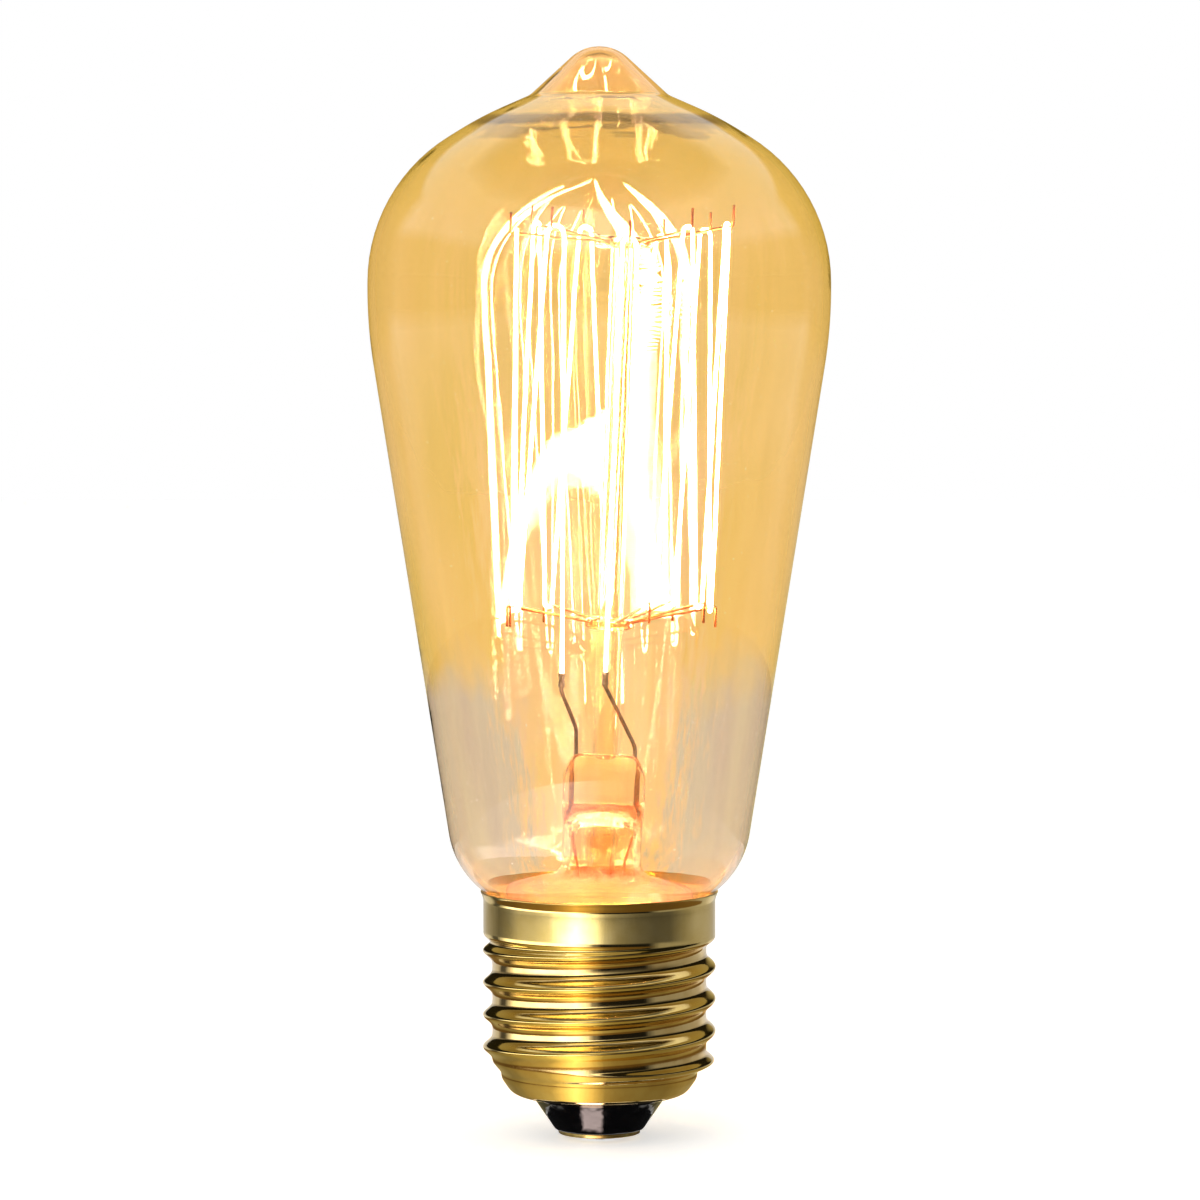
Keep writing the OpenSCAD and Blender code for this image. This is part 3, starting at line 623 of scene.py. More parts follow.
# The filament.
# One fine tungsten wire wound into a long close coil, which zigzags between the hooks. It
# is lit: it glows so brightly that it looks white, and its light is warm.

# The real coil is finer. It is wound just coarse enough here for its turns to show.
coil_pitch = 0.24
coil_wire_radius = 0.062
coil_sides = 4
coil_points_per_turn = 7
loop_steps = 12
clamped_length = 0.5
GLOW = "#FFE9CC"
GLOW_PALE = "#FFF1DC"
BARE_TUNGSTEN = "#5A5450"
BARE_TUNGSTEN_DARK = "#3C3836"
glow_strength = 180.0


def hook_loop(hook, button_radius, ring, button_z, way):
    """The filament's way over one hook, from where it comes to where it leaves."""
    angle, rise, width = hook
    turn = math.radians(angle)
    slope = math.atan2(rise, ring - button_radius + hook_seat)
    crest = button_z + rise + way * (hook_radius + filament_radius) / math.cos(slope)
    loop = []
    for k in range(loop_steps + 1):
        t = math.pi * k / loop_steps
        around = width / 2 * math.cos(t)
        loop.append(Vector((ring * math.cos(turn) - around * math.sin(turn),
                            ring * math.sin(turn) + around * math.cos(turn),
                            crest + way * width / 2 * (math.sin(t) - 1))))
    return loop


clamp_rise = Vector((0, 0, press_top_z + clamp_length))
left_clamp = Vector(left_lead_bends[-1]) + clamp_rise
right_clamp = Vector(right_lead_bends[-1]) + clamp_rise
into_clamp = Vector((0, 0, clamped_length))
filament_run = [left_clamp - into_clamp, left_clamp]
for i, hook in enumerate(upper_hooks):
    filament_run += hook_loop(hook, upper_button_radius, upper_hook_ring, upper_button_z, 1)
    if i < len(lower_hooks):
        filament_run += hook_loop(lower_hooks[i], lower_button_radius, lower_hook_ring,
                                  lower_button_z, -1)
filament_run += [right_clamp, right_clamp - into_clamp]


def evenly_spaced(path, step):
    """The same run with points a fixed step apart."""
    run = [path[0]]
    left = step
    for a, b in zip(path, path[1:]):
        length = (b - a).length
        at = left
        while at < length:
            run.append(a.lerp(b, at / length))
            at += step
        left = at - length
    return run


def coiled(path, coil_radius):
    """A helix of wire points round a run."""
    step = coil_pitch / coil_points_per_turn
    run = evenly_spaced(path, step)
    turns = (2 * math.pi * k / coil_points_per_turn for k in range(len(run)))
    return [p + coil_radius * (math.cos(t) * u + math.sin(t) * v)
            for p, (u, v), t in zip(run, frames_along(run), turns)]


def glowing(name):
    """Tungsten at white heat. The dark drawn metal hardly shows beside its own light."""
    material, tree = new_material(name)
    grain = speckle(tree, 0.4)
    heat = between(tree, grain, 0.3, 0.7, GLOW, GLOW_PALE)
    metal = add(tree, "BsdfPrincipled", {
        "Base Color": between(tree, grain, 0.3, 0.7, BARE_TUNGSTEN, BARE_TUNGSTEN_DARK),
        "Metallic": 1.0, "Roughness": 0.4, "Emission Color": heat,
        "Emission Strength": glow_strength,
    })
    add(tree, "OutputMaterial", {"Surface": metal.outputs[0]})
    return material


coil_mesh = round_wire("filament_coil", coiled(filament_run, filament_radius - coil_wire_radius),
                       coil_wire_radius, sides=coil_sides)
coil_mesh.transform(lean)
place(coil_mesh, glowing("white_hot_tungsten"), "filament")


# The bulb.
# Soda-lime glass, blown, drawn to a tip and sealed there. The outside is stained amber
# down to the last third, where the stain thins out unevenly to a pale grey-beige.

bulb_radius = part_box("envelope")[1].x / MM
# Radius, height and fillet of each corner of the outline, up to where the tip starts.
bulb_corners = [
    (neck_radius, neck_end_z, 0), (neck_radius, 27.08, 1.2), (16.3, 30.77, 10.0),
    (bulb_radius, 91.2, 54.0), (bulb_radius, 106.85, 19.0), (13.15, 114.69, 39.0),
    (7.7, 117.07, 2.4), (0.0, 124.12, 0.0),
]
tip_radius = 4.7
tip_centre_z = bulb_top_z - tip_radius
tip_start = 47.5
tip_steps = 12
bulb_around = 160
soda_glass_ior = 1.52
stain_foot_z = 60.5
stain_full_z = 65.5
# Painted glow: where the orange band lies that stands in for the filament's light.
painted_glow_reach = 11.5
painted_glow_core = 9.0
painted_glow_fading_z = 66.0
painted_glow_faint_z = 88.0
root_foot_z = 103.0
root_top_z = 110.0
# Painted dark reflection: a ragged dark ring just under the tip.
ring_z = 114.3
ring_wander = 0.9
pale_foot_z = 116.6
pale_top_z = 118.2
AMBER = "#FAC976"
AMBER_DEEP = "#F2C069"
AMBER_OLIVE = "#EABD5A"
AMBER_ROOT = "#E8BC5B"
STAIN_EDGE = "#DFC7A0"
STAIN_EDGE_PINK = "#D4B89C"
PAINTED_GLOW_BAND = "#FFC98C"
STAIN_TIP = "#FBBE6C"
PAINTED_DARK_RING = "#7E6440"
PINHOLE = "#FFF9EA"


def spread(line, step):
    """More points along an outline, no further apart than step."""
    run = []
    for a, b in zip(line, line[1:]):
        parts = math.ceil(math.dist(a, b) / step)
        run += [(a[0] + (b[0] - a[0]) * k / parts, a[1] + (b[1] - a[1]) * k / parts)
                for k in range(parts)]
    return run + [line[-1]]


def bulb_outline(inset):
    """The outline from the neck's end to the top of the tip, drawn in by inset."""
    line = spread(rounded(bulb_corners, inset, steps=14)[:-1], 1.5)
    reach = tip_radius - inset
    for k in range(tip_steps + 1):
        t = math.radians(tip_start + (90 - tip_start) * k / tip_steps)
        line.append((reach * math.cos(t), tip_centre_z + reach * math.sin(t)))
    line[-1] = (0.0, line[-1][1])
    return line


def blown(radius, height, angle):
    """Blown glass is of uneven thickness inside, most of all near the tip."""
    where = Vector(about_axis(radius, angle, height))
    amount = 0.01 + 0.09 * min(1, max(0, (height - 105) / 9)) ** 2
    return amount * (noise.noise(where / 5.0) + 0.5 * noise.noise(where / 2.2)
                     + 0.25 * noise.noise(where / 1.2))


wall_rings = turned_rings(bulb_outline(0.0), bulb_around)
wall_rings += turned_rings(bulb_outline(glass_wall)[::-1], bulb_around, blown)
bulb_mesh = skin("bulb_glass", wall_rings, closed_loop=True)


def stained_glass(name):
    """Amber lustre on clear glass. It tints what is seen through it, as evenly at the
    edges as in the middle, and the glass under it keeps a sharp gloss."""
    material, tree = new_material(name)
    where = add(tree, "TexCoord", {}).outputs["Object"]
    axes = add(tree, "SeparateXYZ", {"Vector": where}).outputs
    height = axes["Z"]
    # The stain ends in a ragged line, and has streaks and clouds above it.
    ragged = speckle(tree, 14.0, stretch=(1, 1, 1.6), detail=5.0, roughness=0.6)
    line = add(tree, "Math", {0: ragged, 1: 0.022, 2: height}, operation="MULTIPLY_ADD").outputs[0]
    share = add(tree, "MapRange", {
        "Value": line, "From Min": stain_foot_z * MM, "From Max": stain_full_z * MM}).outputs[0]
    streaks = speckle(tree, 3.0, stretch=(1, 1, 14), detail=3.0)
    clouds = speckle(tree, 19.0, stretch=(1, 1, 2.2), detail=3.0, roughness=0.45)
    cloud = add(tree, "MapRange", {"Value": clouds, "From Min": 0.44, "From Max": 0.6}).outputs[0]
    amber = between(tree, streaks, 0.35, 0.7, AMBER, AMBER_DEEP)
    amber = add(tree, "Mix", {0: cloud, 6: amber, 7: linear(AMBER_OLIVE)}, data_type="RGBA").outputs[2]
    colour = between(tree, streaks, 0.35, 0.7, STAIN_EDGE, STAIN_EDGE_PINK)
    # Painted glow: a ragged orange band down the middle of the front and the back, where the
    #     filament's light shows round the stem. It widens going up and fades further up.
    aside = add(tree, "Math", {0: axes["X"]}, operation="ABSOLUTE").outputs[0]
    glow_band_edge = speckle(tree, 1.3, stretch=(1, 1, 30), detail=3.0, roughness=0.7)
    reach = add(tree, "Math", {0: glow_band_edge, 1: 16.0 * MM, 2: aside}, operation="MULTIPLY_ADD").outputs[0]
    widening = add(tree, "Math", {0: height, 1: -0.16, 2: reach}, operation="MULTIPLY_ADD").outputs[0]
    run = add(tree, "MapRange", {
        "Value": widening, "From Min": painted_glow_reach * MM, "From Max": painted_glow_core * MM}).outputs[0]
    fading = add(tree, "MapRange", {
        "Value": height, "From Min": painted_glow_fading_z * MM, "From Max": painted_glow_faint_z * MM,
        "To Min": 1.0, "To Max": 0.3}).outputs[0]
    run = add(tree, "Math", {0: run, 1: fading}, operation="MULTIPLY").outputs[0]
    runs = between(tree, streaks, 0.35, 0.7, PAINTED_GLOW_BAND, AMBER)
    # The stain is at its strongest where the glass was drawn in towards the tip.
    root = add(tree, "MapRange", {
        "Value": height, "From Min": root_foot_z * MM, "From Max": root_top_z * MM,
        "To Max": 0.85}).outputs[0]
    # The drawn tip is thin and pale. Just under it runs a ragged dark ring, a painted dark
    #     reflection.
    tip = add(tree, "MapRange", {
        "Value": height, "From Min": pale_foot_z * MM, "From Max": pale_top_z * MM}).outputs[0]
    wander = add(tree, "Math", {0: ragged, 1: ring_wander * MM, 2: height},
                 operation="MULTIPLY_ADD").outputs[0]
    off_ring = add(tree, "Math", {0: wander, 1: (ring_z + ring_wander / 2) * MM},
                   operation="SUBTRACT").outputs[0]
    off_ring = add(tree, "Math", {0: off_ring}, operation="ABSOLUTE").outputs[0]
    ring = add(tree, "MapRange", {"Value": off_ring, "From Min": 0.75 * MM, "From Max": 0.4 * MM}).outputs[0]
    # Pinholes in the stain let white through.
    pinholes = speckle(tree, 0.45, detail=1.0)
    pinhole = add(tree, "MapRange", {"Value": pinholes, "From Min": 0.76, "From Max": 0.8}).outputs[0]
    for cover, stain in (
            (share, amber), (run, runs), (root, linear(AMBER_ROOT)), (tip, linear(STAIN_TIP)),
            (ring, linear(PAINTED_DARK_RING)), (pinhole, linear(PINHOLE))):
        colour = add(tree, "Mix", {0: cover, 6: colour, 7: stain}, data_type="RGBA").outputs[2]
    waves = speckle(tree, 9.0, detail=1.0)
    ripple = add(tree, "Bump", {"Height": waves, "Strength": 0.1, "Distance": 0.04 * MM})
    glass_surface(tree, colour, ripple, 0.0, soda_glass_ior)
    return material


place(bulb_mesh, stained_glass("amber_stained_blown_glass"), "envelope")

# Only the outside is stained. The inside of the wall is clear and nearly colourless.
bulb_mesh.materials.append(clear_glass(
    "blown_soda_lime_glass", "#FFFFFF", "#FDFDFB", soda_glass_ior,
    ripple_mm=6.0, ripple_depth=0.02, roughness=0.0))
for face in bulb_mesh.polygons:
    middle = face.center / MM
    reach = math.hypot(middle.x, middle.y)
    outward = face.normal.x * middle.x + face.normal.y * middle.y
    face.material_index = 0 if outward > 0 or (reach < 2 and face.normal.z > 0) else 1


# The insulator.
# Opaque black glass, poured hot into the mouth of the shell and pressed to a blunt cone.
# It is as glossy as it left the mould, with a slight ripple.

mouth_z = 4.55
foot_z = 1.05
insulator_hole = 0.6
foot_radius = 4.95
JET = "#030305"
JET_DULL = "#08070A"


def black_glass(name):
    """Opaque glass as it left the mould: deep black, with one long rippled highlight."""
    material, tree = new_material(name)
    ripple = speckle(tree, 2.6)
    fine = speckle(tree, 0.9, detail=3.0)
    bump = add(tree, "Bump", {"Height": ripple, "Strength": 0.6, "Distance": 0.35 * MM})
    dullness = add(tree, "MapRange", {"Value": fine, "From Min": 0.35, "From Max": 0.7,
                                      "To Min": 0.05, "To Max": 0.2})
    glass = add(tree, "BsdfPrincipled", {
        "Base Color": between(tree, fine, 0.3, 0.7, JET, JET_DULL), "IOR": 1.55,
        "Roughness": dullness.outputs[0], "Normal": bump.outputs[0],
    })
    add(tree, "OutputMaterial", {"Surface": glass.outputs[0]})
    return material


shell_wall = 0.3
mouth_radius = 7.35
shoulder_radius = 11.05
thread_z = 7.4
shoulder_corners = [(mouth_radius, mouth_z, 0), (shoulder_radius - 1.15, mouth_z + 0.75, 1.8),
                    (shoulder_radius, thread_z - 0.5, 1.5), (shoulder_radius, thread_z, 0)]
inner_shoulder = [p for p in rounded(shoulder_corners, shell_wall) if p[1] < insulator_top_z]
insulator_loop = rounded([(insulator_hole, foot_z, 0), (foot_radius, foot_z, 0.5),
                          (mouth_radius, mouth_z, 0)])
insulator_loop += inner_shoulder
insulator_loop += [(shoulder_radius - 3, insulator_top_z), (insulator_hole, insulator_top_z)]
place(turned("black_glass_insulator", insulator_loop, around=96),
      black_glass("pressed_black_glass"), "cap_insulator")


# The centre contact.
# A brass disc pressed into the foot of the insulator, with a dome of solder run through
# its hole over the end of the centre lead.

plate_z = 0.6
plate_hole = 0.9
plate_radius = 4.6
solder_flat = 1.3
solder_round = 1.5
solder_steps = 12
plate_corners = [(plate_hole, plate_z, 0), (plate_radius, plate_z, 0.1),
                 (plate_radius, foot_z, 0.1), (plate_hole, foot_z, 0)]
# Unlacquered brass has gone brown in patches and shines only softly.
contact_brass = drawn_metal("tarnished_brass_disc", "#D8C07A", "#8C6B32", 0.35, patch_mm=1.8)
place(turned("contact_disc", rounded(plate_corners), around=72), contact_brass,
      "contact_plate")
solder_loop = [(0.0, 0.0)]
for k in range(solder_steps + 1):
    t = math.pi / 2 * k / solder_steps
    solder_loop.append((solder_flat + solder_round * math.sin(t), plate_z * (1 - math.cos(t))))
solder_loop += [(plate_hole, plate_z), (plate_hole, foot_z), (0.0, foot_z)]


def uneven_solder(radius, height, angle):
    """Solder sets a little lumpy, but is worn flat where it touches."""
    return 0.0 if height < 0.02 else -0.12 * (1 + noise.noise(Vector(about_axis(radius, angle, 3.0))))


# Solder that cooled by itself is silvery, with duller grey patches.
solder = drawn_metal("cooled_tin_solder", "#D2D3D5", "#9A9B9F", 0.3, patch_mm=1.1)
place(turned("solder_dome", solder_loop, around=64, uneven=uneven_solder), solder,
      "centre_solder")


# The brass shell.
# Thin brass sheet, drawn to a cup and rolled with a right-hand thread. The lacquered
# metal is pale gold, with painted shade in the roots of the thread, and fine lines from
# the drawing.

collar_z = 23.3
lip_z = rim_z - 1.0
lip_flare = 0.35
collar_bore = collar_radius - shell_wall
thread_pitch = 3.629
crest_radius = 13.1
thread_depth = 1.05
first_crest_z = thread_z + 1.2
grown_over = 1.6
run_out_over = 1.2
flank_radius = 12.75
root_radius = 12.2
shell_around = 200
rings_a_turn = 24
BRASS = "#F8DB90"
BRASS_SMUDGED = "#EFCE78"
# Painted shade for the roots of the thread.
PAINTED_ROOT_SHADE = "#F2D490"
PAINTED_ROOT_SHADE_SMUDGED = "#E0BA70"


def rolled(angle, z):
    """Radius of the sheet's outside: the thread grows out of the shoulder and runs out
    under the collar."""
    turn = 2 * math.pi * (z - first_crest_z) / thread_pitch - angle
    wave = crest_radius - thread_depth * (1 - ((1 + math.cos(turn)) / 2) ** 2)
    grown = shoulder_radius + (wave - shoulder_radius) * eased((z - thread_z) / grown_over)
    return grown + (collar_radius - grown) * eased((z - collar_z) / run_out_over + 1)


thread_steps = round((collar_z - thread_z) / thread_pitch * rings_a_turn)
levels = [thread_z + (collar_z - thread_z) * k / thread_steps for k in range(1, thread_steps)]


def shell_ring(z, inset):
    """One level of the rolled sheet: its outside, drawn in by inset."""
    return [about_axis(rolled(angle, z) - inset, angle, z) for angle in round_turn(shell_around)]


shell_rings = turned_rings(rounded(shoulder_corners, steps=12), shell_around)
shell_rings += [shell_ring(z, 0.0) for z in levels]
rim_corners = [(collar_radius, collar_z, 0), (collar_radius, lip_z, 1.4),
               (collar_radius + lip_flare, rim_z, 0.12), (collar_bore + lip_flare, rim_z, 0.12),
               (collar_bore, lip_z, 1.7), (collar_bore, collar_z, 0)]
shell_rings += turned_rings(spread(rounded(rim_corners, steps=5), 0.4), shell_around)
shell_rings += [shell_ring(z, shell_wall) for z in levels[::-1]]
shell_rings += turned_rings(rounded(shoulder_corners, shell_wall, steps=12)[::-1], shell_around)


def brass_sheet(name):
    """Lacquered brass, rolled bright: a clear pale-gold mirror that reads almost black where
    it shows something dark. The lines from drawing the sheet are finer than they are here."""
    material, tree = new_material(name)
    where = add(tree, "TexCoord", {}).outputs["Object"]
    flat = add(tree, "VectorMath", {0: where, 1: (1, 1, 0)}, operation="MULTIPLY").outputs[0]
    reach = add(tree, "VectorMath", {0: flat}, operation="LENGTH").outputs["Value"]
    root = add(tree, "MapRange", {
        "Value": reach, "From Min": flank_radius * MM, "From Max": root_radius * MM})
    smudge = speckle(tree, 3.2, detail=3.0)
    drawn = speckle(tree, 0.35, stretch=(1, 1, 12))
    clean = between(tree, smudge, 0.3, 0.75, BRASS, BRASS_SMUDGED)
    # Painted shade: the roots of the thread are a deeper gold.
    shaded = between(tree, smudge, 0.3, 0.75, PAINTED_ROOT_SHADE, PAINTED_ROOT_SHADE_SMUDGED)
    colour = add(tree, "Mix", {0: root.outputs[0], 6: clean, 7: shaded}, data_type="RGBA").outputs[2]
    dullness = add(tree, "MapRange", {"Value": smudge, "From Min": 0.3, "From Max": 0.75,
                                      "To Min": 0.07, "To Max": 0.12})
    bump = add(tree, "Bump", {"Height": drawn, "Strength": 0.25, "Distance": 0.015 * MM})
    metal = add(tree, "BsdfPrincipled", {
        "Base Color": colour, "Metallic": 1.0, "Roughness": dullness.outputs[0],
        "Normal": bump.outputs[0],
    })
    add(tree, "OutputMaterial", {"Surface": metal.outputs[0]})
    return material


place(skin("brass_screw_shell", shell_rings, closed_loop=True, sharp_degrees=60),
      brass_sheet("rolled_brass_sheet"), "cap_shell")


# The cement.
# Gritty resin cement that fills the gap between neck and collar and holds the cap on.

CEMENT = "#F2D9A8"
CEMENT_DARK = "#DDBB84"


def gritty(name):
    """Baked cement, matt and sandy. The real grit is a few times finer."""
    material, tree = new_material(name)
    grit = speckle(tree, 0.35, detail=5.0)
    bump = add(tree, "Bump", {"Height": grit, "Strength": 0.6, "Distance": 0.15 * MM})
    paste = add(tree, "BsdfPrincipled", {
        "Base Color": between(tree, grit, 0.3, 0.7, CEMENT, CEMENT_DARK), "Roughness": 0.9,
        "Normal": bump.outputs[0],
    })
    add(tree, "OutputMaterial", {"Surface": paste.outputs[0]})
    return material


cement_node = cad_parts["capping_cement"]
cement_node.data.materials.clear()
cement_node.data.materials.append(gritty("baked_resin_cement"))


# The side solder.
# A flat bead at the back of the collar that joins the side lead to the shell.

bead_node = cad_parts["side_solder"]
bead_node.data.materials.clear()
bead_node.data.materials.append(solder)


# The studio.
# White paper under and behind the lamp, lit evenly and so bright that it reads as white.
# The lamp's soft shadow stays on it.


def seen_directly(tree, otherwise, level):
    """A level for rays from the camera and those that glass and metal send on."""
    path = add(tree, "LightPath", {})
    either = add(tree, "Math", {0: path.outputs["Is Camera Ray"], 1: path.outputs["Is Glossy Ray"]},
                 operation="MAXIMUM")
    either = add(tree, "Math", {0: either.outputs[0], 1: path.outputs["Is Transmission Ray"]},
                 operation="MAXIMUM")
    return add(tree, "MapRange", {"Value": either.outputs[0], "To Min": otherwise, "To Max": level}
               ).outputs[0]


def white_paper(name):
    """Matt paper, with a tooth drawn coarser than it is. To the camera, and in glass and
    metal, it also glows up to plain white."""
    material, tree = new_material(name)
    tooth = speckle(tree, 1.5, detail=3.0)
    bump = add(tree, "Bump", {"Height": tooth, "Strength": 0.1, "Distance": 0.05 * MM})
    paper = add(tree, "BsdfPrincipled", {
        "Base Color": between(tree, tooth, 0.3, 0.7, "#F2F2F0", "#EDEDEB"), "Roughness": 0.9,
        "Specular IOR Level": 0.2, "Normal": bump.outputs[0],
    })
    glow = add(tree, "Emission", {"Color": (1, 1, 1, 1), "Strength": seen_directly(tree, 0.0, 0.5)})
    both = add(tree, "AddShader", {0: paper.outputs[0], 1: glow.outputs[0]})
    add(tree, "OutputMaterial", {"Surface": both.outputs[0]})
    return material


def stage_piece(name, mesh, material):
    """Sets up a piece of the studio."""
    thing = bpy.data.objects.new(name, mesh)
    scene.collection.objects.link(thing)
    mesh.materials.append(material)
    return thing


paper_half = 1500
floor_mesh = bpy.data.meshes.new("floor")
floor_mesh.from_pydata([(x * paper_half * MM, y * paper_half * MM, 0)
                        for x, y in ((-1, -1), (1, -1), (1, 1), (-1, 1))], [], [(0, 1, 2, 3)])
stage_piece("floor", floor_mesh, white_paper("matt_white_paper"))

world = bpy.data.worlds.new("white_studio")
scene.world = world
world.use_nodes = True
world.node_tree.nodes.clear()
backdrop = add(world.node_tree, "Background", {
    "Color": (1, 1, 1, 1), "Strength": seen_directly(world.node_tree, 0.55, 1.0)})
add(world.node_tree, "OutputWorld", {"Surface": backdrop.outputs[0]})


# The soft box and the tent.
# One large soft box at the front left lights the lamp. Cloth at many levels hangs round it
# like a tent, where only polished surfaces see it, and gives brass and glass their form.


def from_azimuth(degrees, distance, height):
    """A place round the lamp. Azimuth 0 is at the camera's side, 90 at the right."""
    t = math.radians(degrees)
    return Vector((distance * math.sin(t), -distance * math.cos(t), height))


def backlit_cloth(name):
    """Thin cloth that glows softly, at the level, tint and cover given for each place."""
    material, tree = new_material(name)
    level = add(tree, "Attribute", {}, attribute_name="level").outputs["Color"]
    cover = add(tree, "Attribute", {}, attribute_name="cover").outputs["Fac"]
    cloth = add(tree, "Emission", {"Color": level, "Strength": 1.0})
    gap = add(tree, "BsdfTransparent", {})
    mixed = add(tree, "MixShader", {0: cover, 1: gap.outputs[0], 2: cloth.outputs[0]})
    add(tree, "OutputMaterial", {"Surface": mixed.outputs[0]})
    return material


def stations(shares, count):
    """Values between neighbours of a list, in even steps."""
    steps = []
    for a, b in zip(shares, shares[1:]):
        steps += [[p + (q - p) * k / count for p, q in zip(a, b)] for k in range(count)]
    return steps + [list(shares[-1])]


tent_cloth = backlit_cloth("backlit_tent_cloth")


def hang_card(name, around, rows):
    """A cloth bent round the lamp. around lists azimuth, level and cover, and rows lists
    distance and height in mm, cover and colour, from one edge to the other."""
    columns = stations(around, 3)
    places, levels, covers = [], [], []
    for distance, height, row_cover, colour in rows:
        for azimuth, level, cover in columns:
            places.append(from_azimuth(azimuth, distance * MM, height * MM))
            levels += [level * part for part in linear(colour)[:3]] + [1.0]
            covers.append(cover * row_cover)
    wide = len(columns)
    faces = [(r * wide + k, r * wide + k + 1, (r + 1) * wide + k + 1, (r + 1) * wide + k)
             for r in range(len(rows) - 1) for k in range(wide - 1)]
    mesh = bpy.data.meshes.new(name)
    mesh.from_pydata(places, [], faces)
    mesh.attributes.new("level", "FLOAT_COLOR", "POINT").data.foreach_set("color", levels)
    mesh.attributes.new("cover", "FLOAT", "POINT").data.foreach_set("value", covers)
    card = stage_piece(name, mesh, tent_cloth)
    for sight in ("camera", "diffuse", "transmission", "volume_scatter", "shadow"):
        setattr(card, "visible_" + sight, False)
    return card


def all_round(levels, share=1.0, least=0.0, behind=None):
    """Azimuth, level and cover of a full ring. Each level is scaled and raised by least. The
    very back shows along the outline of the glass, and can have a level of its own."""
    return [(azimuth, behind if behind and abs(azimuth) == 180 else least + share * level, 1)
            for azimuth, level in levels]


WHITE = "#FFFFFF"
WARM = "#FFEDA6"
OLIVE = "#D9AE3A"
ROSE = "#E8CDB4"
PINK = "#FFE4DC"
BROWN = "#B8965A"
tent = 70
cloth_z = 0.3
wall_top_z = 19.5
shade_top_z = 43
wall_levels = [
    (-180, 0.85), (-157, 0.6), (-131, 0.33), (-109, 0.14), (-92, 0.24), (-79, 0.55), (-61, 0.72),
    (-46, 1.1), (-36, 2.3), (-22, 4.2), (-8, 2.4), (5, 0.6), (14, 0.33), (23, 0.22), (37, 0.13),
    (52, 0.09), (68, 0.1), (87, 0.27), (102, 0.38), (121, 0.42), (143, 0.45), (180, 0.85),
]
root_levels = [
    (-180, 0.75), (-150, 0.75), (-130, 0.6), (-122, 0.08), (-113, 0.08), (-104, 0.9), (-94, 2.4),
    (-60, 3.0), (-22, 3.6), (-13, 1.7), (-6, 0.3), (2, 0.01), (46, 0.01), (58, 0.3), (100, 0.35),
    (125, 0.5), (136, 0.75), (180, 0.75),
]
even_levels = [(0, 1), (120, 1), (240, 1), (360, 1)]

# The collar shows the wall, and the roots of the thread show the cloth at its foot.
hang_card("tent_wall", all_round(wall_levels), [(tent, cloth_z, 1, WHITE), (tent, wall_top_z, 1, WHITE)])
hang_card("root_card", all_round(root_levels),
          [(tent - 1, 0.5, 1, WHITE), (tent - 1, 12, 1, WHITE), (tent - 1, 15, 0, WHITE)])
# The undersides of the thread show the floor, and its upper sides a dark band and the eaves.
hang_card("tent_floor", all_round(wall_levels, 0.44, 0.18, behind=2.2),
          [(9.4, cloth_z, 1, WARM), (30, cloth_z, 1, WARM), (42, cloth_z, 1, BROWN),
           (tent, cloth_z, 1, BROWN)])
hang_card("tent_shade", all_round(wall_levels, 0.008, 0.01, behind=1.2),
          [(tent, wall_top_z, 1, WARM), (tent, shade_top_z, 1, WARM)])
hang_card("tent_eaves", all_round(wall_levels, 0.36, 0.18, behind=1.2),
          [(tent, shade_top_z, 1, WARM), (tent, 60, 0.75, WARM), (tent, 80, 0.35, WARM),
           (tent, 104, 0, WARM)])
# The insulator slopes down, and shows the dark under the cap with one bright gap in it.
hang_card("foot_shade", all_round(even_levels, 0.02),
          [(5.2, 0.2, 1, WHITE), (8.8, 0.2, 1, WHITE), (9.4, 0.2, 1, WHITE)])
hang_card("foot_glint", [(-28, 7, 0), (-23, 7, 1), (1, 7, 1), (6, 7, 0)],
          [(5.4, 0.22, 0, PINK), (5.8, 0.22, 1, PINK), (8.0, 0.22, 1, PINK), (8.6, 0.22, 0, PINK)])
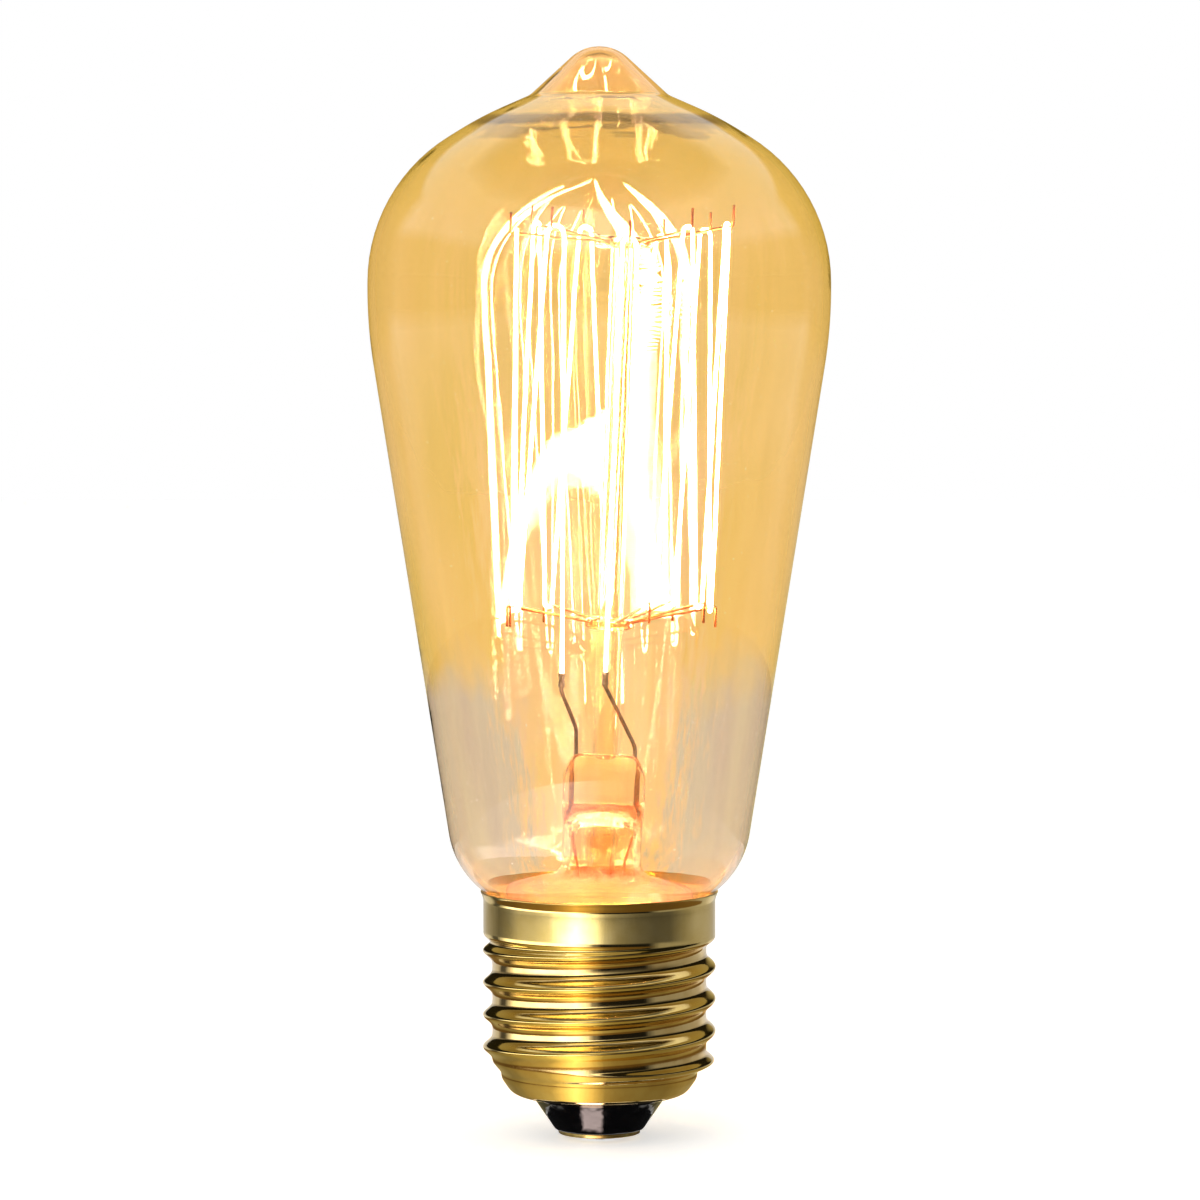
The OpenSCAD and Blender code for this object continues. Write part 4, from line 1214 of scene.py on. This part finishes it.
# Larger cloths further off tone the glass: olive above, rose behind and grey overhead.
hang_card("upper_card", [(-150, 0.3, 0), (-120, 0.3, 1), (120, 0.3, 1), (150, 0.3, 0)],
          [(150, 80, 0, OLIVE), (150, 88, 1, OLIVE), (145, 130, 1, OLIVE), (143, 142, 0, OLIVE)])
hang_card("back_card", [(118, 0.6, 0), (128, 0.6, 1), (232, 0.6, 1), (242, 0.6, 0)],
          [(300, 10, 0, ROSE), (300, 16, 1, ROSE), (300, 45, 1, ROSE), (300, 70, 1, OLIVE),
           (300, 250, 1, OLIVE), (300, 270, 0, OLIVE)])
ceiling_card = hang_card("ceiling_card", all_round(even_levels, 0.12),
                         [(1, 700, 1, WHITE), (420, 700, 1, WHITE), (600, 700, 0, WHITE)])
ceiling_card.visible_transmission = True

soft_box_distance = 0.855
soft_box_azimuth = -18
soft_box_height = 0.5
aim_height = 0.05
soft_box = bpy.data.lights.new("soft_box", "AREA")
soft_box.shape = "RECTANGLE"
soft_box.size = 0.7
soft_box.size_y = 0.9
soft_box.energy = 3.6
soft_box.color = (1.0, 0.985, 0.96)
soft_box_stand = bpy.data.objects.new("soft_box", soft_box)
scene.collection.objects.link(soft_box_stand)
soft_box_stand.location = from_azimuth(soft_box_azimuth, soft_box_distance, soft_box_height)
soft_box_stand.rotation_euler = (Vector((0, 0, aim_height)) - soft_box_stand.location
                                 ).to_track_quat("-Z", "Y").to_euler()


# The camera.
# A long lens at the lamp's own height, which looks down a little.

camera = bpy.data.cameras.new("camera")
camera.sensor_width = 36
camera.lens = 163.4
camera.clip_start = 0.01
camera_stand = bpy.data.objects.new("camera", camera)
scene.collection.objects.link(camera_stand)
camera_stand.location = (0, -0.60866, 0.10116)
camera_aim = Vector((0.00008, 0, 0.06073))
camera_stand.rotation_euler = (camera_aim - camera_stand.location).to_track_quat("-Z", "Y").to_euler()
scene.camera = camera_stand

scene.view_settings.view_transform = "Standard"
# Light has to cross many walls of glass here, and the lit coil stays white in its images.
scene.cycles.max_bounces = 32
scene.cycles.transmission_bounces = 32
scene.cycles.glossy_bounces = 12
scene.cycles.transparent_max_bounces = 32
scene.cycles.sample_clamp_indirect = 60
